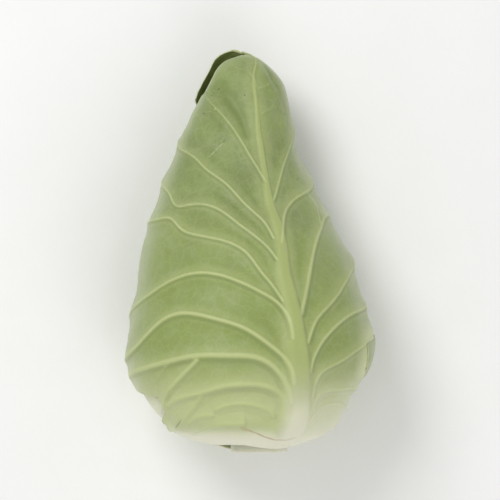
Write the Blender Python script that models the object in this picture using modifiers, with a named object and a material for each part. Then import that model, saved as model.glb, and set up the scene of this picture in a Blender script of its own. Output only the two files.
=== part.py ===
"""A pointed (sweetheart) cabbage, cut at the stump and lying on its side.

Metres, +Z up. The tip points along +Y, the cut stump along -Y, and the big front leaf faces up.
The origin is on the table, under the middle of the head.

The head is a plump pointed body, written as ellipses along its length. Every leaf is a thin
shell on that body: it has its own height among the layers, a midrib, side veins that stand
proud of the outer face, and two margins. The rows of a leaf's mesh run along its side veins.
"""
import math

import bmesh
import bpy
import numpy as np

MM = 0.001

# The side that the head lies on is pressed flat: the body's lowest skin, how softly it bends up
# round the flat, and the table's level, where ribs and midrib are pressed in too, in millimetres
PRESSED_Z = 5.7
PRESSED_SOFTNESS = 0.3
TABLE_Z = 2.9
# Moves the finished head so that the origin lies on the table under the middle of its box
CENTRING = np.array((-0.99, 0.64, -TABLE_Z))

# The body, tip first, in millimetres: y, left edge x, right edge x, underside z, half thickness
HEAD_STATIONS = (
    (111.0, -4.0, -4.0, 45.0, 0.0),
    (110.7, -7.4, -0.6, 41.8, 3.2),
    (109.6, -12.2, 3.6, 37.4, 7.4),
    (107.0, -17.0, 8.2, 32.8, 11.8),
    (102.5, -20.4, 13.4, 28.6, 15.8),
    (96.5, -23.4, 18.2, 25.2, 19.2),
    (85.5, -29.2, 22.0, 21.0, 23.2),
    (74.0, -35.0, 24.0, 18.4, 26.2),
    (57.5, -41.4, 26.4, 14.4, 30.4),
    (40.5, -48.6, 34.2, 9.6, 36.8),
    (23.5, -54.4, 42.2, 6.2, 43.0),
    (1.0, -61.4, 54.8, 4.2, 50.6),
    (-27.0, -65.0, 63.4, 4.2, 55.8),
    (-52.0, -69.4, 68.2, 4.2, 58.8),
    (-69.0, -67.4, 63.0, 5.6, 57.0),
    (-83.0, -61.4, 55.6, 9.6, 51.6),
    (-96.0, -51.0, 50.0, 15.8, 44.6),
    (-104.0, -37.6, 40.0, 24.6, 34.8),
    (-107.8, -24.0, 29.8, 34.0, 25.0),
    (-109.2, -12.2, 22.2, 41.8, 17.2),
)
HEAD_SAMPLES = 800

# Layers: the back leaf lies outside the front leaf, and the others inside it
LAYER_AT_TIP = 1.7
LAYER_ON_BODY = 2.6
TIP_SHARE = 0.2
BLADE = 0.9
HEART_CLEARANCE = 0.6

# Veins, in millimetres
MIDRIB_HALF_WIDTH_BASE = 8.0
MIDRIB_HALF_WIDTH_TIP = 1.2
MIDRIB_RISE_BASE = 2.4
MIDRIB_RISE_TIP = 0.7
MIDRIB_SHOULDER = 0.55
MIDRIB_SWELLING = 1.6
MIDRIB_SINKS_FROM = 0.88
MIDRIB_SINKS_BY = 0.7
RIB_RISE = 0.9
RIB_RISE_AT_MIDRIB = 0.6
RIB_RISE_LOST = 0.7
RIB_RISE_LOST_LATE = 1.5
RISE_LEFT_AT_TIP = 0.4
HIDDEN_RIB_RISE = 0.6
VISIBLE_ROW_SHARES = (0.36, 0.5, 0.64, 1.0)
HIDDEN_ROW_SHARES = (0.34, 0.66, 1.0)
LEAST_ROW_STEP = 0.0012
LEAST_COLUMN_TURN = 0.5
COLUMN_CROWDING = 1.12
MARGIN_WAVE = 0.25
MARGIN_WAVE_LENGTH = 21.0
HEAD_LENGTH = 240.0

# The cut stump
STUMP_RADIUS = 16.0
STUMP_CENTRE_X = 5.0
STUMP_CENTRE_Z = 59.0
STUMP_CUT_Y = -112.4
STUMP_SIDES = 40
STUMP_BEVEL = 0.8
TOUCH_GAP = 0.3

# Front leaf, seen from above: x and y in millimetres
FRONT_MIDRIB = ((2.4, 109.4), (2.1, 100.0), (3.0, 88.0), (4.0, 75.0), (6.0, 57.0), (7.7, 46.0),
                (11.0, 27.0), (15.5, 13.0), (19.0, -12.0), (23.5, -31.0), (26.0, -50.0),
                (27.0, -70.0), (26.5, -88.0), (22.0, -102.0), (17.0, -108.0))
# Its side veins: y at the midrib, the points that the eye follows, y at the margin
FRONT_LEFT_VEINS = (
    (110.0, ((-4.0, 110.6),), 108.6),
    (92.0, ((1.7, 98.0), (-2.3, 102.0), (-9.0, 104.0)), 102.5),
    (65.0, ((-4.0, 83.0), (-12.0, 94.0)), 97.0),
    (37.0, ((4.0, 46.5), (-3.7, 60.0), (-9.1, 69.0), (-18.2, 80.0)), 90.5),
    (6.0, ((8.4, 15.0), (-2.8, 26.5), (-15.5, 39.5), (-30.5, 52.5), (-39.0, 59.5)), 68.0),
    (-6.0, ((8.0, 3.5), (-4.7, 14.0), (-19.8, 24.5), (-40.8, 26.0), (-47.5, 37.0)), 45.0),
    (-29.0, ((9.5, -15.5), (-2.8, 0.0), (-25.3, 8.3), (-44.6, 18.5), (-55.0, 17.0)), 17.0),
    (-50.0, ((16.5, -31.0), (-5.3, -17.0), (-25.3, -12.0), (-41.3, -15.0), (-57.4, -25.5)), -40.0),
    (-74.0, ((16.5, -57.0), (0.0, -44.0), (-20.9, -36.5), (-41.3, -35.0), (-59.6, -49.5)), -63.0),
    (-84.0, ((16.6, -68.0), (6.0, -59.0), (-28.4, -57.3), (-57.5, -64.5)), -73.0),
    (-90.0, ((16.6, -79.5), (7.1, -73.5), (-14.4, -74.0), (-43.5, -82.5)), -83.5),
    (-94.0, ((1.7, -85.0), (-17.7, -87.0), (-30.5, -91.5)), -95.0),
    (-99.0, ((4.0, -95.0), (-18.0, -97.5)), -102.0),
    (-107.5, ((2.0, -107.2),), -107.0),
)
FRONT_RIGHT_VEINS = (
    (110.0, ((4.5, 109.8),), 107.5),
    (92.0, ((7.9, 93.5), (14.0, 97.0)), 99.0),
    (77.0, ((9.0, 79.5), (17.0, 83.0)), 88.0),
    (50.0, ((14.0, 65.0), (20.0, 73.0)), 80.0),
    (26.5, ((15.8, 38.5), (17.8, 47.5), (21.0, 57.0)), 69.0),
    (9.0, ((20.0, 21.5), (25.0, 29.0), (32.0, 36.0)), 47.0),
    (-35.5, ((32.4, -13.5), (37.2, 8.5), (40.5, 18.0)), 27.0),
    (-45.0, ((36.2, -38.5), (42.6, -31.0), (50.1, -21.0)), 0.0),
    (-60.0, ((39.4, -50.5), (48.0, -40.5), (57.0, -34.0)), -25.0),
    (-75.0, ((39.4, -66.5), (46.9, -62.0), (55.5, -57.0)), -47.0),
    (-83.5, ((39.4, -78.0), (46.9, -76.0), (55.0, -75.5)), -75.0),
    (-90.0, ((39.4, -86.0), (49.0, -85.0)), -87.0),
    (-99.0, ((32.0, -97.5),), -98.5),
    (-107.5, ((24.0, -106.4),), -106.0),
)

# Margins: y in millimetres and the angle round the body in degrees, 0 at the top, + towards +X
FRONT_LEFT_MARGIN = ((109.0, -72.0), (106.0, -70.0), (99.0, -70.0), (94.5, -72.0),
                     (90.5, -75.0), (86.0, -96.0), (80.0, -114.0), (70.0, -121.0),
                     (60.0, -121.0), (40.0, -119.0), (20.0, -117.0), (-20.0, -116.0),
                     (-60.0, -114.0), (-74.0, -106.0), (-83.5, -54.0), (-88.0, -54.0),
                     (-96.0, -68.0), (-102.0, -86.0), (-107.5, -60.0))
FRONT_RIGHT_MARGIN = ((108.0, 108.0), (98.0, 118.0), (85.0, 122.0), (60.0, 121.0),
                      (40.0, 119.0), (10.0, 116.0), (-40.0, 112.0), (-52.0, 77.0),
                      (-69.0, 76.0), (-78.0, 100.0), (-88.0, 102.0), (-98.0, 98.0),
                      (-107.5, 86.0))
BACK_LEFT_MARGIN = ((109.5, -96.0), (104.0, -100.0), (96.0, -97.0), (90.0, -97.0),
                    (86.0, -104.0), (82.0, -115.0), (70.0, -117.0), (60.0, -116.0),
                    (40.0, -114.0), (20.0, -112.0), (-20.0, -112.0), (-60.0, -110.0),
                    (-78.0, -112.0), (-92.0, -122.0), (-109.0, -134.0))
BACK_RIGHT_MARGIN = ((109.0, 114.0), (98.0, 116.0), (80.0, 117.0), (60.0, 116.0),
                     (40.0, 114.0), (10.0, 112.0), (-42.0, 104.0), (-53.0, 75.0),
                     (-67.0, 75.0), (-76.0, 104.0), (-84.0, 110.0), (-96.0, 118.0),
                     (-109.0, 134.0))

LEAF_FOOT_Y = -109.0
# The margins part at the tip's left, from this y upwards: how far each leaf leans, in millimetres
TIP_PARTS_FROM = 101.0
TIP_PARTS_OVER = 8.0
FRONT_DRAWN_IN = 0.6
BACK_LEAN_LEFT = 0.9
BACK_LEAN_RIGHT = 0.5
BACK_LEAN_TIP = 1.4
# and from which angle on, and over how many degrees it grows to the full lean
FRONT_DRAWN_FROM = -25.0
FRONT_DRAWN_OVER = 45.0
BACK_LEANS_FROM_LEFT = 205.0
BACK_LEANS_FROM_RIGHT = 155.0
BACK_LEANS_OVER = 40.0

# Wrapper leaves that follow the rule: name, layer, midrib angle, top y, wings at the tip,
# on the body and at the base
RULED_LEAVES = (
    ("left_leaf", 2, -114.0, 82.0, 44.0, 96.0, 48.0),
    ("right_leaf", 3, 104.0, 103.0, 52.0, 90.0, 46.0),
    ("inner_leaf", 4, -30.0, 100.0, 62.0, 84.0, 46.0),
)
VISIBLE_VEINS = 8
HIDDEN_VEINS = 5
SIDE_COLUMNS_WIDE = 10
SIDE_COLUMNS_VISIBLE = 8
SIDE_COLUMNS_HIDDEN = 6
# Side veins that follow the rule, in millimetres: where they start, how far they climb, how far
# they arch over after that, each near the tip and near the base, and where the last one ends
VEIN_ROOT_BELOW_TOP = 18.0
VEIN_LAST_ROOT_Y = -96.0
VEIN_CLIMB = (46.0, 30.0)
VEIN_ARCH = (-12.0, 28.0)
VEIN_LOWEST_END_Y = -101.0
VEIN_END_BELOW_TOP = 6.0
VEIN_END_STEP = 4.0
VEIN_ROOM_USED = 0.8
# a vein's two bends: how far up its climb the first is, and how far out to the margin both are
VEIN_KNEE_UP = 0.62
VEIN_KNEE_OUT = 0.2
VEIN_ARCH_OUT = 0.6

# The heart: columns round it, rows along it, and three leaf edges wound over its tip
HEART_COLUMNS = 36
HEART_ROWS = 20
HEART_FOLDS = 3
HEART_FOLD_STEP = 1.1
HEART_TWIST = 150.0
# folds fade out along the head, from here on and over this share of it
HEART_FOLDS_FADE_FROM = 0.3
HEART_FOLDS_FADE_OVER = 0.5
HEART_ROW_CROWDING = 1.15
HEART_POINT_RISE = 0.6

SMOOTH_BELOW = 50.0
STUMP_SMOOTH_BELOW = 30.0
LEAF_ROUGHNESS = 0.5
HEART_ROUGHNESS = 0.45
STUMP_ROUGHNESS = 0.6
BACK_GREEN = (0.32, 0.40, 0.16)
FRONT_GREEN = (0.34, 0.42, 0.18)
HEART_GREEN = (0.58, 0.66, 0.34)
STUMP_CREAM = (0.80, 0.78, 0.62)
INNER_PALER = (1.1, 1.2, 1.3)


def ease(share):
    share = np.clip(share, 0.0, 1.0)
    return share * share * (3.0 - 2.0 * share)


def eased(stations, where):
    """Value between stations, easing from each one to the next; stations run downwards in y."""
    ys = np.array([-station[0] for station in stations])
    values = np.array([station[1] for station in stations])
    where = np.clip(-np.asarray(where, float), ys[0], ys[-1])
    cell = np.clip(np.searchsorted(ys, where) - 1, 0, len(ys) - 2)
    share = (where - ys[cell]) / (ys[cell + 1] - ys[cell])
    return values[cell] + (values[cell + 1] - values[cell]) * ease(share)


def natural_spline(knots, values):
    """A smooth curve through the values at the knots, as a function of the knot value."""
    knots = np.asarray(knots, float)
    values = np.asarray(values, float)
    step = np.diff(knots)
    size = len(knots)
    matrix = np.eye(size)
    right = np.zeros_like(values)
    for row in range(1, size - 1):
        matrix[row, row - 1:row + 2] = step[row - 1], 2 * (step[row - 1] + step[row]), step[row]
        ahead = (values[row + 1] - values[row]) / step[row]
        behind = (values[row] - values[row - 1]) / step[row - 1]
        right[row] = 6 * (ahead - behind)
    bend = np.linalg.solve(matrix, right)

    def curve(where):
        where = np.clip(np.asarray(where, float), knots[0], knots[-1])
        cell = np.clip(np.searchsorted(knots, where) - 1, 0, size - 2)
        gap = step[cell][:, None]
        past = (where - knots[cell])[:, None]
        left = gap - past
        cubic = (bend[cell] * left ** 3 + bend[cell + 1] * past ** 3) / (6 * gap)
        start = (values[cell] / gap - bend[cell] * gap / 6) * left
        end = (values[cell + 1] / gap - bend[cell + 1] * gap / 6) * past
        return cubic + start + end

    return curve


def chord_knots(points):
    gaps = np.linalg.norm(np.diff(np.asarray(points, float), axis=0), axis=1)
    return np.concatenate([[0.0], np.cumsum(gaps)])


def head_curve():
    """Section centre x, half width, y, centre z and half thickness along the body, 0 to 1."""
    rows = np.array(HEAD_STATIONS)
    half_width = (rows[:, 2] - rows[:, 1]) / 2
    columns = ((rows[:, 1] + rows[:, 2]) / 2, half_width, rows[:, 0], rows[:, 3] + rows[:, 4], rows[:, 4])
    knots = chord_knots(np.stack([rows[:, 0], half_width], axis=1))
    return natural_spline(knots / knots[-1], np.stack(columns, axis=1))


SECTION = head_curve()
ALONG = np.linspace(0.0, 1.0, HEAD_SAMPLES)
Y_ALONG = SECTION(ALONG)[:, 2]


def share_at(y):
    """How far along the body the section at y lies: 0 at the tip, 1 at the stump."""
    return np.interp(-np.asarray(y, float), -Y_ALONG, ALONG)


def skin(share, angle):
    centre_x, half_width, y, centre_z, half_thick = SECTION(share).T
    turn = np.radians(angle)
    above = centre_z + half_thick * np.cos(turn) - PRESSED_Z
    pressed = 0.5 * (above + np.sqrt(above ** 2 + 4.0 * PRESSED_SOFTNESS ** 2))
    return np.stack([centre_x + half_width * np.sin(turn), y, PRESSED_Z + pressed], axis=1)


def on_head(share, angle, depth):
    """Points at a depth under the body's skin, measured square to the skin."""
    share = np.asarray(share, float)
    small = 1e-3
    along = skin(np.clip(share + small, 0, 1), angle) - skin(np.clip(share - small, 0, 1), angle)
    around = skin(share, angle + 0.1) - skin(share, angle - 0.1)
    normal = np.cross(around, along)
    normal /= np.linalg.norm(normal, axis=1)[:, None]
    return skin(share, angle) + normal * np.asarray(depth, float)[:, None]


def from_plan(x, y):
    """Place along and round the body of a point seen from above."""
    share = share_at([y])
    centre_x, half_width = SECTION(share)[0, :2]
    return share[0], math.degrees(math.asin(max(-1.0, min(1.0, (x - centre_x) / half_width))))


def layer_depth(layer, share):
    pitch = LAYER_AT_TIP + (LAYER_ON_BODY - LAYER_AT_TIP) * ease(np.asarray(share) / TIP_SHARE)
    return (layer - 1) * pitch


def midrib_half_width(share):
    growth = np.clip(share, 0.0, 1.0) ** MIDRIB_SWELLING
    return MIDRIB_HALF_WIDTH_TIP + (MIDRIB_HALF_WIDTH_BASE - MIDRIB_HALF_WIDTH_TIP) * growth


def midrib_rise(share):
    swell = MIDRIB_RISE_TIP + (MIDRIB_RISE_BASE - MIDRIB_RISE_TIP) * np.clip(share, 0, 1)
    sinking = (np.asarray(share) - MIDRIB_SINKS_FROM) / (1.0 - MIDRIB_SINKS_FROM)
    return swell * (1.0 - MIDRIB_SINKS_BY * ease(sinking))


class Leaf:
    """One wrapper leaf: its layer, its midrib and margins, and its rows of side veins."""

    def __init__(self, name, layer, rib_rise, row_shares, columns):
        self.name = name
        self.layer = layer
        self.rib_rise = rib_rise
        self.row_shares = row_shares
        self.columns = columns
        self.midrib = None
        self.margins = {}
        self.veins = {}

    def midrib_angle(self, share):
        return self.midrib(np.atleast_1d(share))[:, 0]

    def edge_angle(self, share, side):
        half_width = SECTION(np.atleast_1d(share))[:, 1]
        return self.midrib_angle(share) + side * np.degrees(midrib_half_width(share) / half_width)

    def vein_row(self, side, root_y, waypoints, end_y):
        """Places along one side vein, from the midrib's edge, where they crowd, to the margin."""
        root = share_at([root_y])
        end = share_at([end_y])
        places = [(root[0], self.edge_angle(root, side)[0])]
        places += waypoints
        places.append((end[0], float(eased(self.margins[side], end_y))))
        places = np.array(places)
        knots = chord_knots(on_head(places[:, 0], places[:, 1], np.zeros(len(places))))
        even = np.linspace(0.0, 1.0, self.columns[side] + 1) ** COLUMN_CROWDING
        return natural_spline(knots, places)(even * knots[-1])

    def side_rows(self, side):
        """The vein rows with rows between them, in the hollow and at the ribs' feet."""
        veins = [self.vein_row(side, *vein) for vein in self.veins[side]]
        rows = [veins[0]]
        crests = [0.0]
        for above, below in zip(veins, veins[1:]):
            for share in self.row_shares:
                rows.append(above * (1.0 - share) + below * share)
                crests.append(1.0 if share == 1.0 else 0.0)
        crests[-1] = 0.0
        return self.tidy_rows(np.array(rows), side), np.array(crests)

    def tidy_rows(self, rows, side):
        """Ends every row on the margin, and keeps rows and columns from crossing."""
        end_y = SECTION(rows[:, -1, 0])[:, 2]
        root = rows[:, :1, 1]
        reach = (eased(self.margins[side], end_y)[:, None] - root) / (rows[:, -1:, 1] - root)
        rows[:, :, 1] = root + (rows[:, :, 1] - root) * reach
        steps = np.arange(rows.shape[0])[:, None] * LEAST_ROW_STEP
        rows[:, :, 0] = np.maximum.accumulate(rows[:, :, 0] - steps, axis=0) + steps
        turns = np.arange(rows.shape[1])[None, :] * LEAST_COLUMN_TURN
        outward = np.maximum.accumulate(side * rows[:, :, 1] - turns, axis=1) + turns
        rows[:, :, 1] = side * outward
        return rows


def lean(leaf, share, angle):
    """How far the back leaf stands out at its margins, and the front leaf draws in at the tip."""
    at_tip = ease((SECTION(share)[:, 2] - TIP_PARTS_FROM) / TIP_PARTS_OVER)
    if leaf.name == "front_leaf":
        return -FRONT_DRAWN_IN * at_tip * ease((FRONT_DRAWN_FROM - angle) / FRONT_DRAWN_OVER)
    if leaf.name == "back_leaf":
        left = ease((angle - BACK_LEANS_FROM_LEFT) / BACK_LEANS_OVER)
        right = ease((BACK_LEANS_FROM_RIGHT - angle) / BACK_LEANS_OVER)
        return BACK_LEAN_LEFT * left + BACK_LEAN_RIGHT * right + BACK_LEAN_TIP * at_tip * left
    return np.zeros(len(share))


def ruled_margin(midrib, side, top_y, wings):
    tip_wing, body_wing, base_wing = wings
    return ((top_y, midrib + side * tip_wing * 0.4), (top_y - 7.0, midrib + side * tip_wing),
            (top_y - 40.0, midrib + side * (body_wing - 8.0)), (0.0, midrib + side * body_wing),
            (-45.0, midrib + side * (body_wing - 7.0)), (-80.0, midrib + side * body_wing),
            (-98.0, midrib + side * (body_wing - 14.0)), (LEAF_FOOT_Y, midrib + side * base_wing))


def ruled_veins(leaf, side, top_y, count):
    """Side veins that climb steeply near the tip and arch over near the base."""
    veins = [(top_y - 1.0, [], top_y - 2.0)]
    for number in range(count):
        share = (number + 0.5) / count
        root_y = (top_y - VEIN_ROOT_BELOW_TOP) * (1.0 - share) + VEIN_LAST_ROOT_Y * share
        climb = VEIN_CLIMB[0] * (1.0 - share) + VEIN_CLIMB[1] * share
        arch = VEIN_ARCH[0] * (1.0 - share) + VEIN_ARCH[1] * share
        climb = min(climb, VEIN_ROOM_USED * (top_y - VEIN_END_STEP - root_y))
        highest_end_y = top_y - VEIN_END_BELOW_TOP - VEIN_END_STEP * number
        end_y = max(min(root_y + climb - arch, highest_end_y), VEIN_LOWEST_END_Y)
        middle = float(leaf.midrib_angle(share_at([root_y]))[0])
        wing = float(eased(leaf.margins[side], end_y)) - middle
        knee = share_at([root_y + VEIN_KNEE_UP * climb])[0]
        bend = share_at([0.5 * (root_y + climb + end_y)])[0]
        waypoints = [(knee, middle + VEIN_KNEE_OUT * wing), (bend, middle + VEIN_ARCH_OUT * wing)]
        veins.append((root_y, waypoints, end_y))
    veins.append((LEAF_FOOT_Y, [], LEAF_FOOT_Y + 0.1))
    return veins


def front_leaf():
    columns = {-1: SIDE_COLUMNS_WIDE, 1: SIDE_COLUMNS_VISIBLE}
    leaf = Leaf("front_leaf", 1, RIB_RISE, VISIBLE_ROW_SHARES, columns)
    places = np.array([from_plan(x, y) for x, y in FRONT_MIDRIB])
    leaf.midrib = natural_spline(places[:, 0], places[:, 1:])
    leaf.margins = {-1: FRONT_LEFT_MARGIN, 1: FRONT_RIGHT_MARGIN}
    for side, veins in ((-1, FRONT_LEFT_VEINS), (1, FRONT_RIGHT_VEINS)):
        leaf.veins[side] = [(root_y, [from_plan(x, y) for x, y in points], end_y)
                            for root_y, points, end_y in veins]
    return leaf


def straight_midrib(angle):
    return natural_spline([0.0, 0.5, 1.0], [[angle], [angle], [angle]])


def back_leaf():
    columns = {-1: SIDE_COLUMNS_VISIBLE, 1: SIDE_COLUMNS_VISIBLE}
    leaf = Leaf("back_leaf", 0, RIB_RISE, VISIBLE_ROW_SHARES, columns)
    leaf.midrib = straight_midrib(180.0)
    leaf.margins = {-1: BACK_RIGHT_MARGIN, 1: tuple((y, angle + 360.0) for y, angle in BACK_LEFT_MARGIN)}
    for side in (-1, 1):
        leaf.veins[side] = ruled_veins(leaf, side, 109.5, VISIBLE_VEINS)
    return leaf


def ruled_leaf(name, layer, angle, top_y, *wings):
    columns = {-1: SIDE_COLUMNS_HIDDEN, 1: SIDE_COLUMNS_HIDDEN}
    leaf = Leaf(name, layer, HIDDEN_RIB_RISE, HIDDEN_ROW_SHARES, columns)
    leaf.midrib = straight_midrib(angle)
    for side in (-1, 1):
        leaf.margins[side] = ruled_margin(angle, side, top_y, wings)
        leaf.veins[side] = ruled_veins(leaf, side, top_y, HIDDEN_VEINS)
    return leaf


def leaf_grid(leaf):
    """Places and rises over the whole leaf: rows from tip to base, columns from left to right."""
    left, crests = leaf.side_rows(-1)
    right, _ = leaf.side_rows(1)
    rises = []
    for rows in (left, right):
        outward = np.linspace(0.0, 1.0, rows.shape[1])
        fade = 1.0 - RIB_RISE_LOST * outward ** RIB_RISE_LOST_LATE
        rise = crests[:, None] * fade[None, :] * leaf.rib_rise
        rise[:, 0] *= RIB_RISE_AT_MIDRIB
        wave = np.sin(2 * math.pi * rows[:, -1, 0] * HEAD_LENGTH / MARGIN_WAVE_LENGTH)
        rise[:, -1] += MARGIN_WAVE * wave
        rises.append(rise)
    middle_share = (left[:, 0, 0] + right[:, 0, 0]) / 2
    shoulders = []
    for side in (-1, 1):
        root = left[:, 0] if side < 0 else right[:, 0]
        centre = leaf.midrib_angle(root[:, 0])
        share = 0.5 * (root[:, 0] + middle_share)
        angle = centre + (root[:, 1] - centre) * MIDRIB_SHOULDER
        shoulders.append(np.stack([share, angle], axis=1))
    hump = midrib_rise(middle_share)
    if leaf.layer > 1:
        hump = np.minimum(hump, HIDDEN_RIB_RISE)
    places = np.concatenate([left[:, ::-1], shoulders[0][:, None], shoulders[1][:, None], right], axis=1)
    rise = np.concatenate([rises[0][:, ::-1], hump[:, None], hump[:, None], rises[1]], axis=1)
    growth = ease(places[:, :, 0] / TIP_SHARE)
    return places, rise * (RISE_LEFT_AT_TIP + (1.0 - RISE_LEFT_AT_TIP) * growth)


def new_object(name, mesh, collection, material):
    thing = bpy.data.objects.new(name, mesh)
    mesh.materials.append(material)
    collection.objects.link(thing)
    return thing


def mesh_from(name, vertices, faces):
    mesh = bpy.data.meshes.new(name)
    mesh.from_pydata([tuple((point + CENTRING) * MM) for point in vertices], [], faces)
    soft = bmesh.new()
    soft.from_mesh(mesh)
    bmesh.ops.recalc_face_normals(soft, faces=soft.faces)
    soft.to_mesh(mesh)
    soft.free()
    mesh.shade_smooth()
    mesh.set_sharp_from_angle(angle=math.radians(SMOOTH_BELOW))
    return mesh


def build_leaf(leaf, collection, material):
    """The ribbed outer face, the smooth inner face with the same triangles, and the rim."""
    places, rise = leaf_grid(leaf)
    rows, columns = rise.shape
    share = places[:, :, 0].ravel()
    angle = places[:, :, 1].ravel()
    depth = layer_depth(leaf.layer, share) - lean(leaf, share, angle)
    outer = on_head(share, angle, depth - rise.ravel())
    inner = on_head(share, angle, depth + BLADE)
    outer[:, 2] = np.maximum(outer[:, 2], TABLE_Z)
    vertices = np.concatenate([outer, inner])
    shift = rows * columns
    faces = []
    for row in range(rows - 1):
        for column in range(columns - 1):
            a = row * columns + column
            b, c, d = a + 1, a + columns + 1, a + columns
            faces += [(a, b, c), (a, c, d)]
            faces += [(a + shift, c + shift, b + shift), (a + shift, d + shift, c + shift)]
    top = list(range(columns))
    right = [row * columns + columns - 1 for row in range(rows)]
    bottom = [(rows - 1) * columns + column for column in reversed(range(columns))]
    left = [row * columns for row in reversed(range(rows))]
    rim = top + right[1:] + bottom[1:] + left[1:-1]
    for here, there in zip(rim, rim[1:] + rim[:1]):
        faces += [(here, here + shift, there + shift), (here, there + shift, there)]
    return new_object(leaf.name, mesh_from(leaf.name, vertices, faces), collection, material)


def heart_depth(share, angle):
    """Three inner leaves wound over one another, each edge a small step up from the next."""
    turn = (angle + HEART_TWIST * (1.0 - share)) * HEART_FOLDS / 360.0
    fade = 1.0 - ease((share - HEART_FOLDS_FADE_FROM) / HEART_FOLDS_FADE_OVER)
    step = np.mod(turn, 1.0) * HEART_FOLD_STEP * fade
    return layer_depth(5, share) + BLADE + HEART_CLEARANCE + step


def build_heart(collection, material):
    shares = np.linspace(0.0, 1.0, HEART_ROWS + 1)[1:] ** HEART_ROW_CROWDING
    angles = np.arange(HEART_COLUMNS) * 360.0 / HEART_COLUMNS
    share, angle = (grid.ravel() for grid in np.meshgrid(shares, angles, indexing="ij"))
    vertices = on_head(share, angle, heart_depth(share, angle))
    base = vertices[-HEART_COLUMNS:]
    base[:, 1] = base[:, 1].mean()
    pole = skin(np.zeros(1), np.zeros(1))[0]
    pole[1] = vertices[:HEART_COLUMNS, 1].max() + HEART_POINT_RISE
    vertices = np.concatenate([vertices, [pole]])
    tip = len(vertices) - 1
    faces = []
    for row in range(HEART_ROWS - 1):
        for column in range(HEART_COLUMNS):
            following = (column + 1) % HEART_COLUMNS
            a = row * HEART_COLUMNS + column
            b = row * HEART_COLUMNS + following
            faces += [(a, b, b + HEART_COLUMNS), (a, b + HEART_COLUMNS, a + HEART_COLUMNS)]
    for column in range(HEART_COLUMNS):
        faces.append((tip, (column + 1) % HEART_COLUMNS, column))
    last = (HEART_ROWS - 1) * HEART_COLUMNS
    faces.append(tuple(last + column for column in range(HEART_COLUMNS)))
    mesh = mesh_from("heart", vertices, faces)
    return new_object("heart", mesh, collection, material), float(base[0, 1])


def build_stump(heart_base_y, collection, material):
    """The stalk that the leaves grew from, cut square across its foot."""
    top_y = heart_base_y - TOUCH_GAP
    length = top_y - STUMP_CUT_Y
    soft = bmesh.new()
    bmesh.ops.create_cone(soft, cap_ends=True, segments=STUMP_SIDES, radius1=STUMP_RADIUS * MM,
                          radius2=STUMP_RADIUS * MM, depth=length * MM)
    mesh = bpy.data.meshes.new("stump")
    soft.to_mesh(mesh)
    soft.free()
    mesh.shade_smooth()
    mesh.set_sharp_from_angle(angle=math.radians(STUMP_SMOOTH_BELOW))
    stump = new_object("stump", mesh, collection, material)
    stump.rotation_euler = (math.radians(90.0), 0.0, 0.0)
    centre = np.array((STUMP_CENTRE_X, (top_y + STUMP_CUT_Y) / 2, STUMP_CENTRE_Z))
    stump.location = (centre + CENTRING) * MM
    edge = stump.modifiers.new("cut edge", "BEVEL")
    edge.width = STUMP_BEVEL * MM
    edge.segments = 2
    edge.limit_method = "ANGLE"
    return stump


def plain_material(name, colour, roughness):
    material = bpy.data.materials.new(name)
    material.use_nodes = True
    shader = material.node_tree.nodes["Principled BSDF"]
    shader.inputs["Base Color"].default_value = (*colour, 1.0)
    shader.inputs["Roughness"].default_value = roughness
    shader.inputs["Metallic"].default_value = 0.0
    return material


def main():
    for thing in list(bpy.data.objects):
        bpy.data.objects.remove(thing, do_unlink=True)
    head = bpy.data.collections.new("pointed_cabbage")
    bpy.context.scene.collection.children.link(head)
    build_leaf(back_leaf(), head, plain_material("back leaf", BACK_GREEN, LEAF_ROUGHNESS))
    build_leaf(front_leaf(), head, plain_material("front leaf", FRONT_GREEN, LEAF_ROUGHNESS))
    for rule, paler in zip(RULED_LEAVES, INNER_PALER):
        tone = tuple(value * paler for value in BACK_GREEN)
        build_leaf(ruled_leaf(*rule), head, plain_material(rule[0], tone, LEAF_ROUGHNESS))
    _, heart_base_y = build_heart(head, plain_material("heart", HEART_GREEN, HEART_ROUGHNESS))
    build_stump(heart_base_y, head, plain_material("stump", STUMP_CREAM, STUMP_ROUGHNESS))


main()
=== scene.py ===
# %% [markdown]
# A pointed cabbage, cut and laid on its side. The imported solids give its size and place, and this
# lesson gives it its looks: ribbed, waxy leaves wrapped over one another, and a cut stump.

# %% Load the frame
import math

import bmesh
import bpy
import numpy as np
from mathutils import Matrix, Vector


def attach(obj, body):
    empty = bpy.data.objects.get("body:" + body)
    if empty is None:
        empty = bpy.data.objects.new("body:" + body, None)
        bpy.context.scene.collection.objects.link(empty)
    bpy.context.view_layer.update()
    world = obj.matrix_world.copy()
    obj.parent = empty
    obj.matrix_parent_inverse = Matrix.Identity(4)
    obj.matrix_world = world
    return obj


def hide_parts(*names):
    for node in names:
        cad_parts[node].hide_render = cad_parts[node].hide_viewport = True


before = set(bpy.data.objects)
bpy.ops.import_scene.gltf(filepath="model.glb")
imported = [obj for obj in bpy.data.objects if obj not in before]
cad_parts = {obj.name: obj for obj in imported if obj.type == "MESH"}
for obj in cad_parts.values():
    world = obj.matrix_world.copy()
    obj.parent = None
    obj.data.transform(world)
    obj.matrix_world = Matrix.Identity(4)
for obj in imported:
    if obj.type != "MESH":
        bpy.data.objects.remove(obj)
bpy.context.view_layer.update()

# %% [markdown]
# Every leaf lies on one plump, pointed body, so the body comes first. It is an ellipse at each
# place along its length, and a smooth curve runs through a few measured ellipses. A place on it is
# a share of the way from tip to stump and an angle round it. We could sculpt the head, but with a
# formula each leaf can lie at its own depth and never cuts its neighbour.

# %% Measures of the body
# the side that it lies on is pressed flat: where, and how softly it bends there
PRESSED_Z = 5.7
PRESSED_SOFTNESS = 0.3
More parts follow.
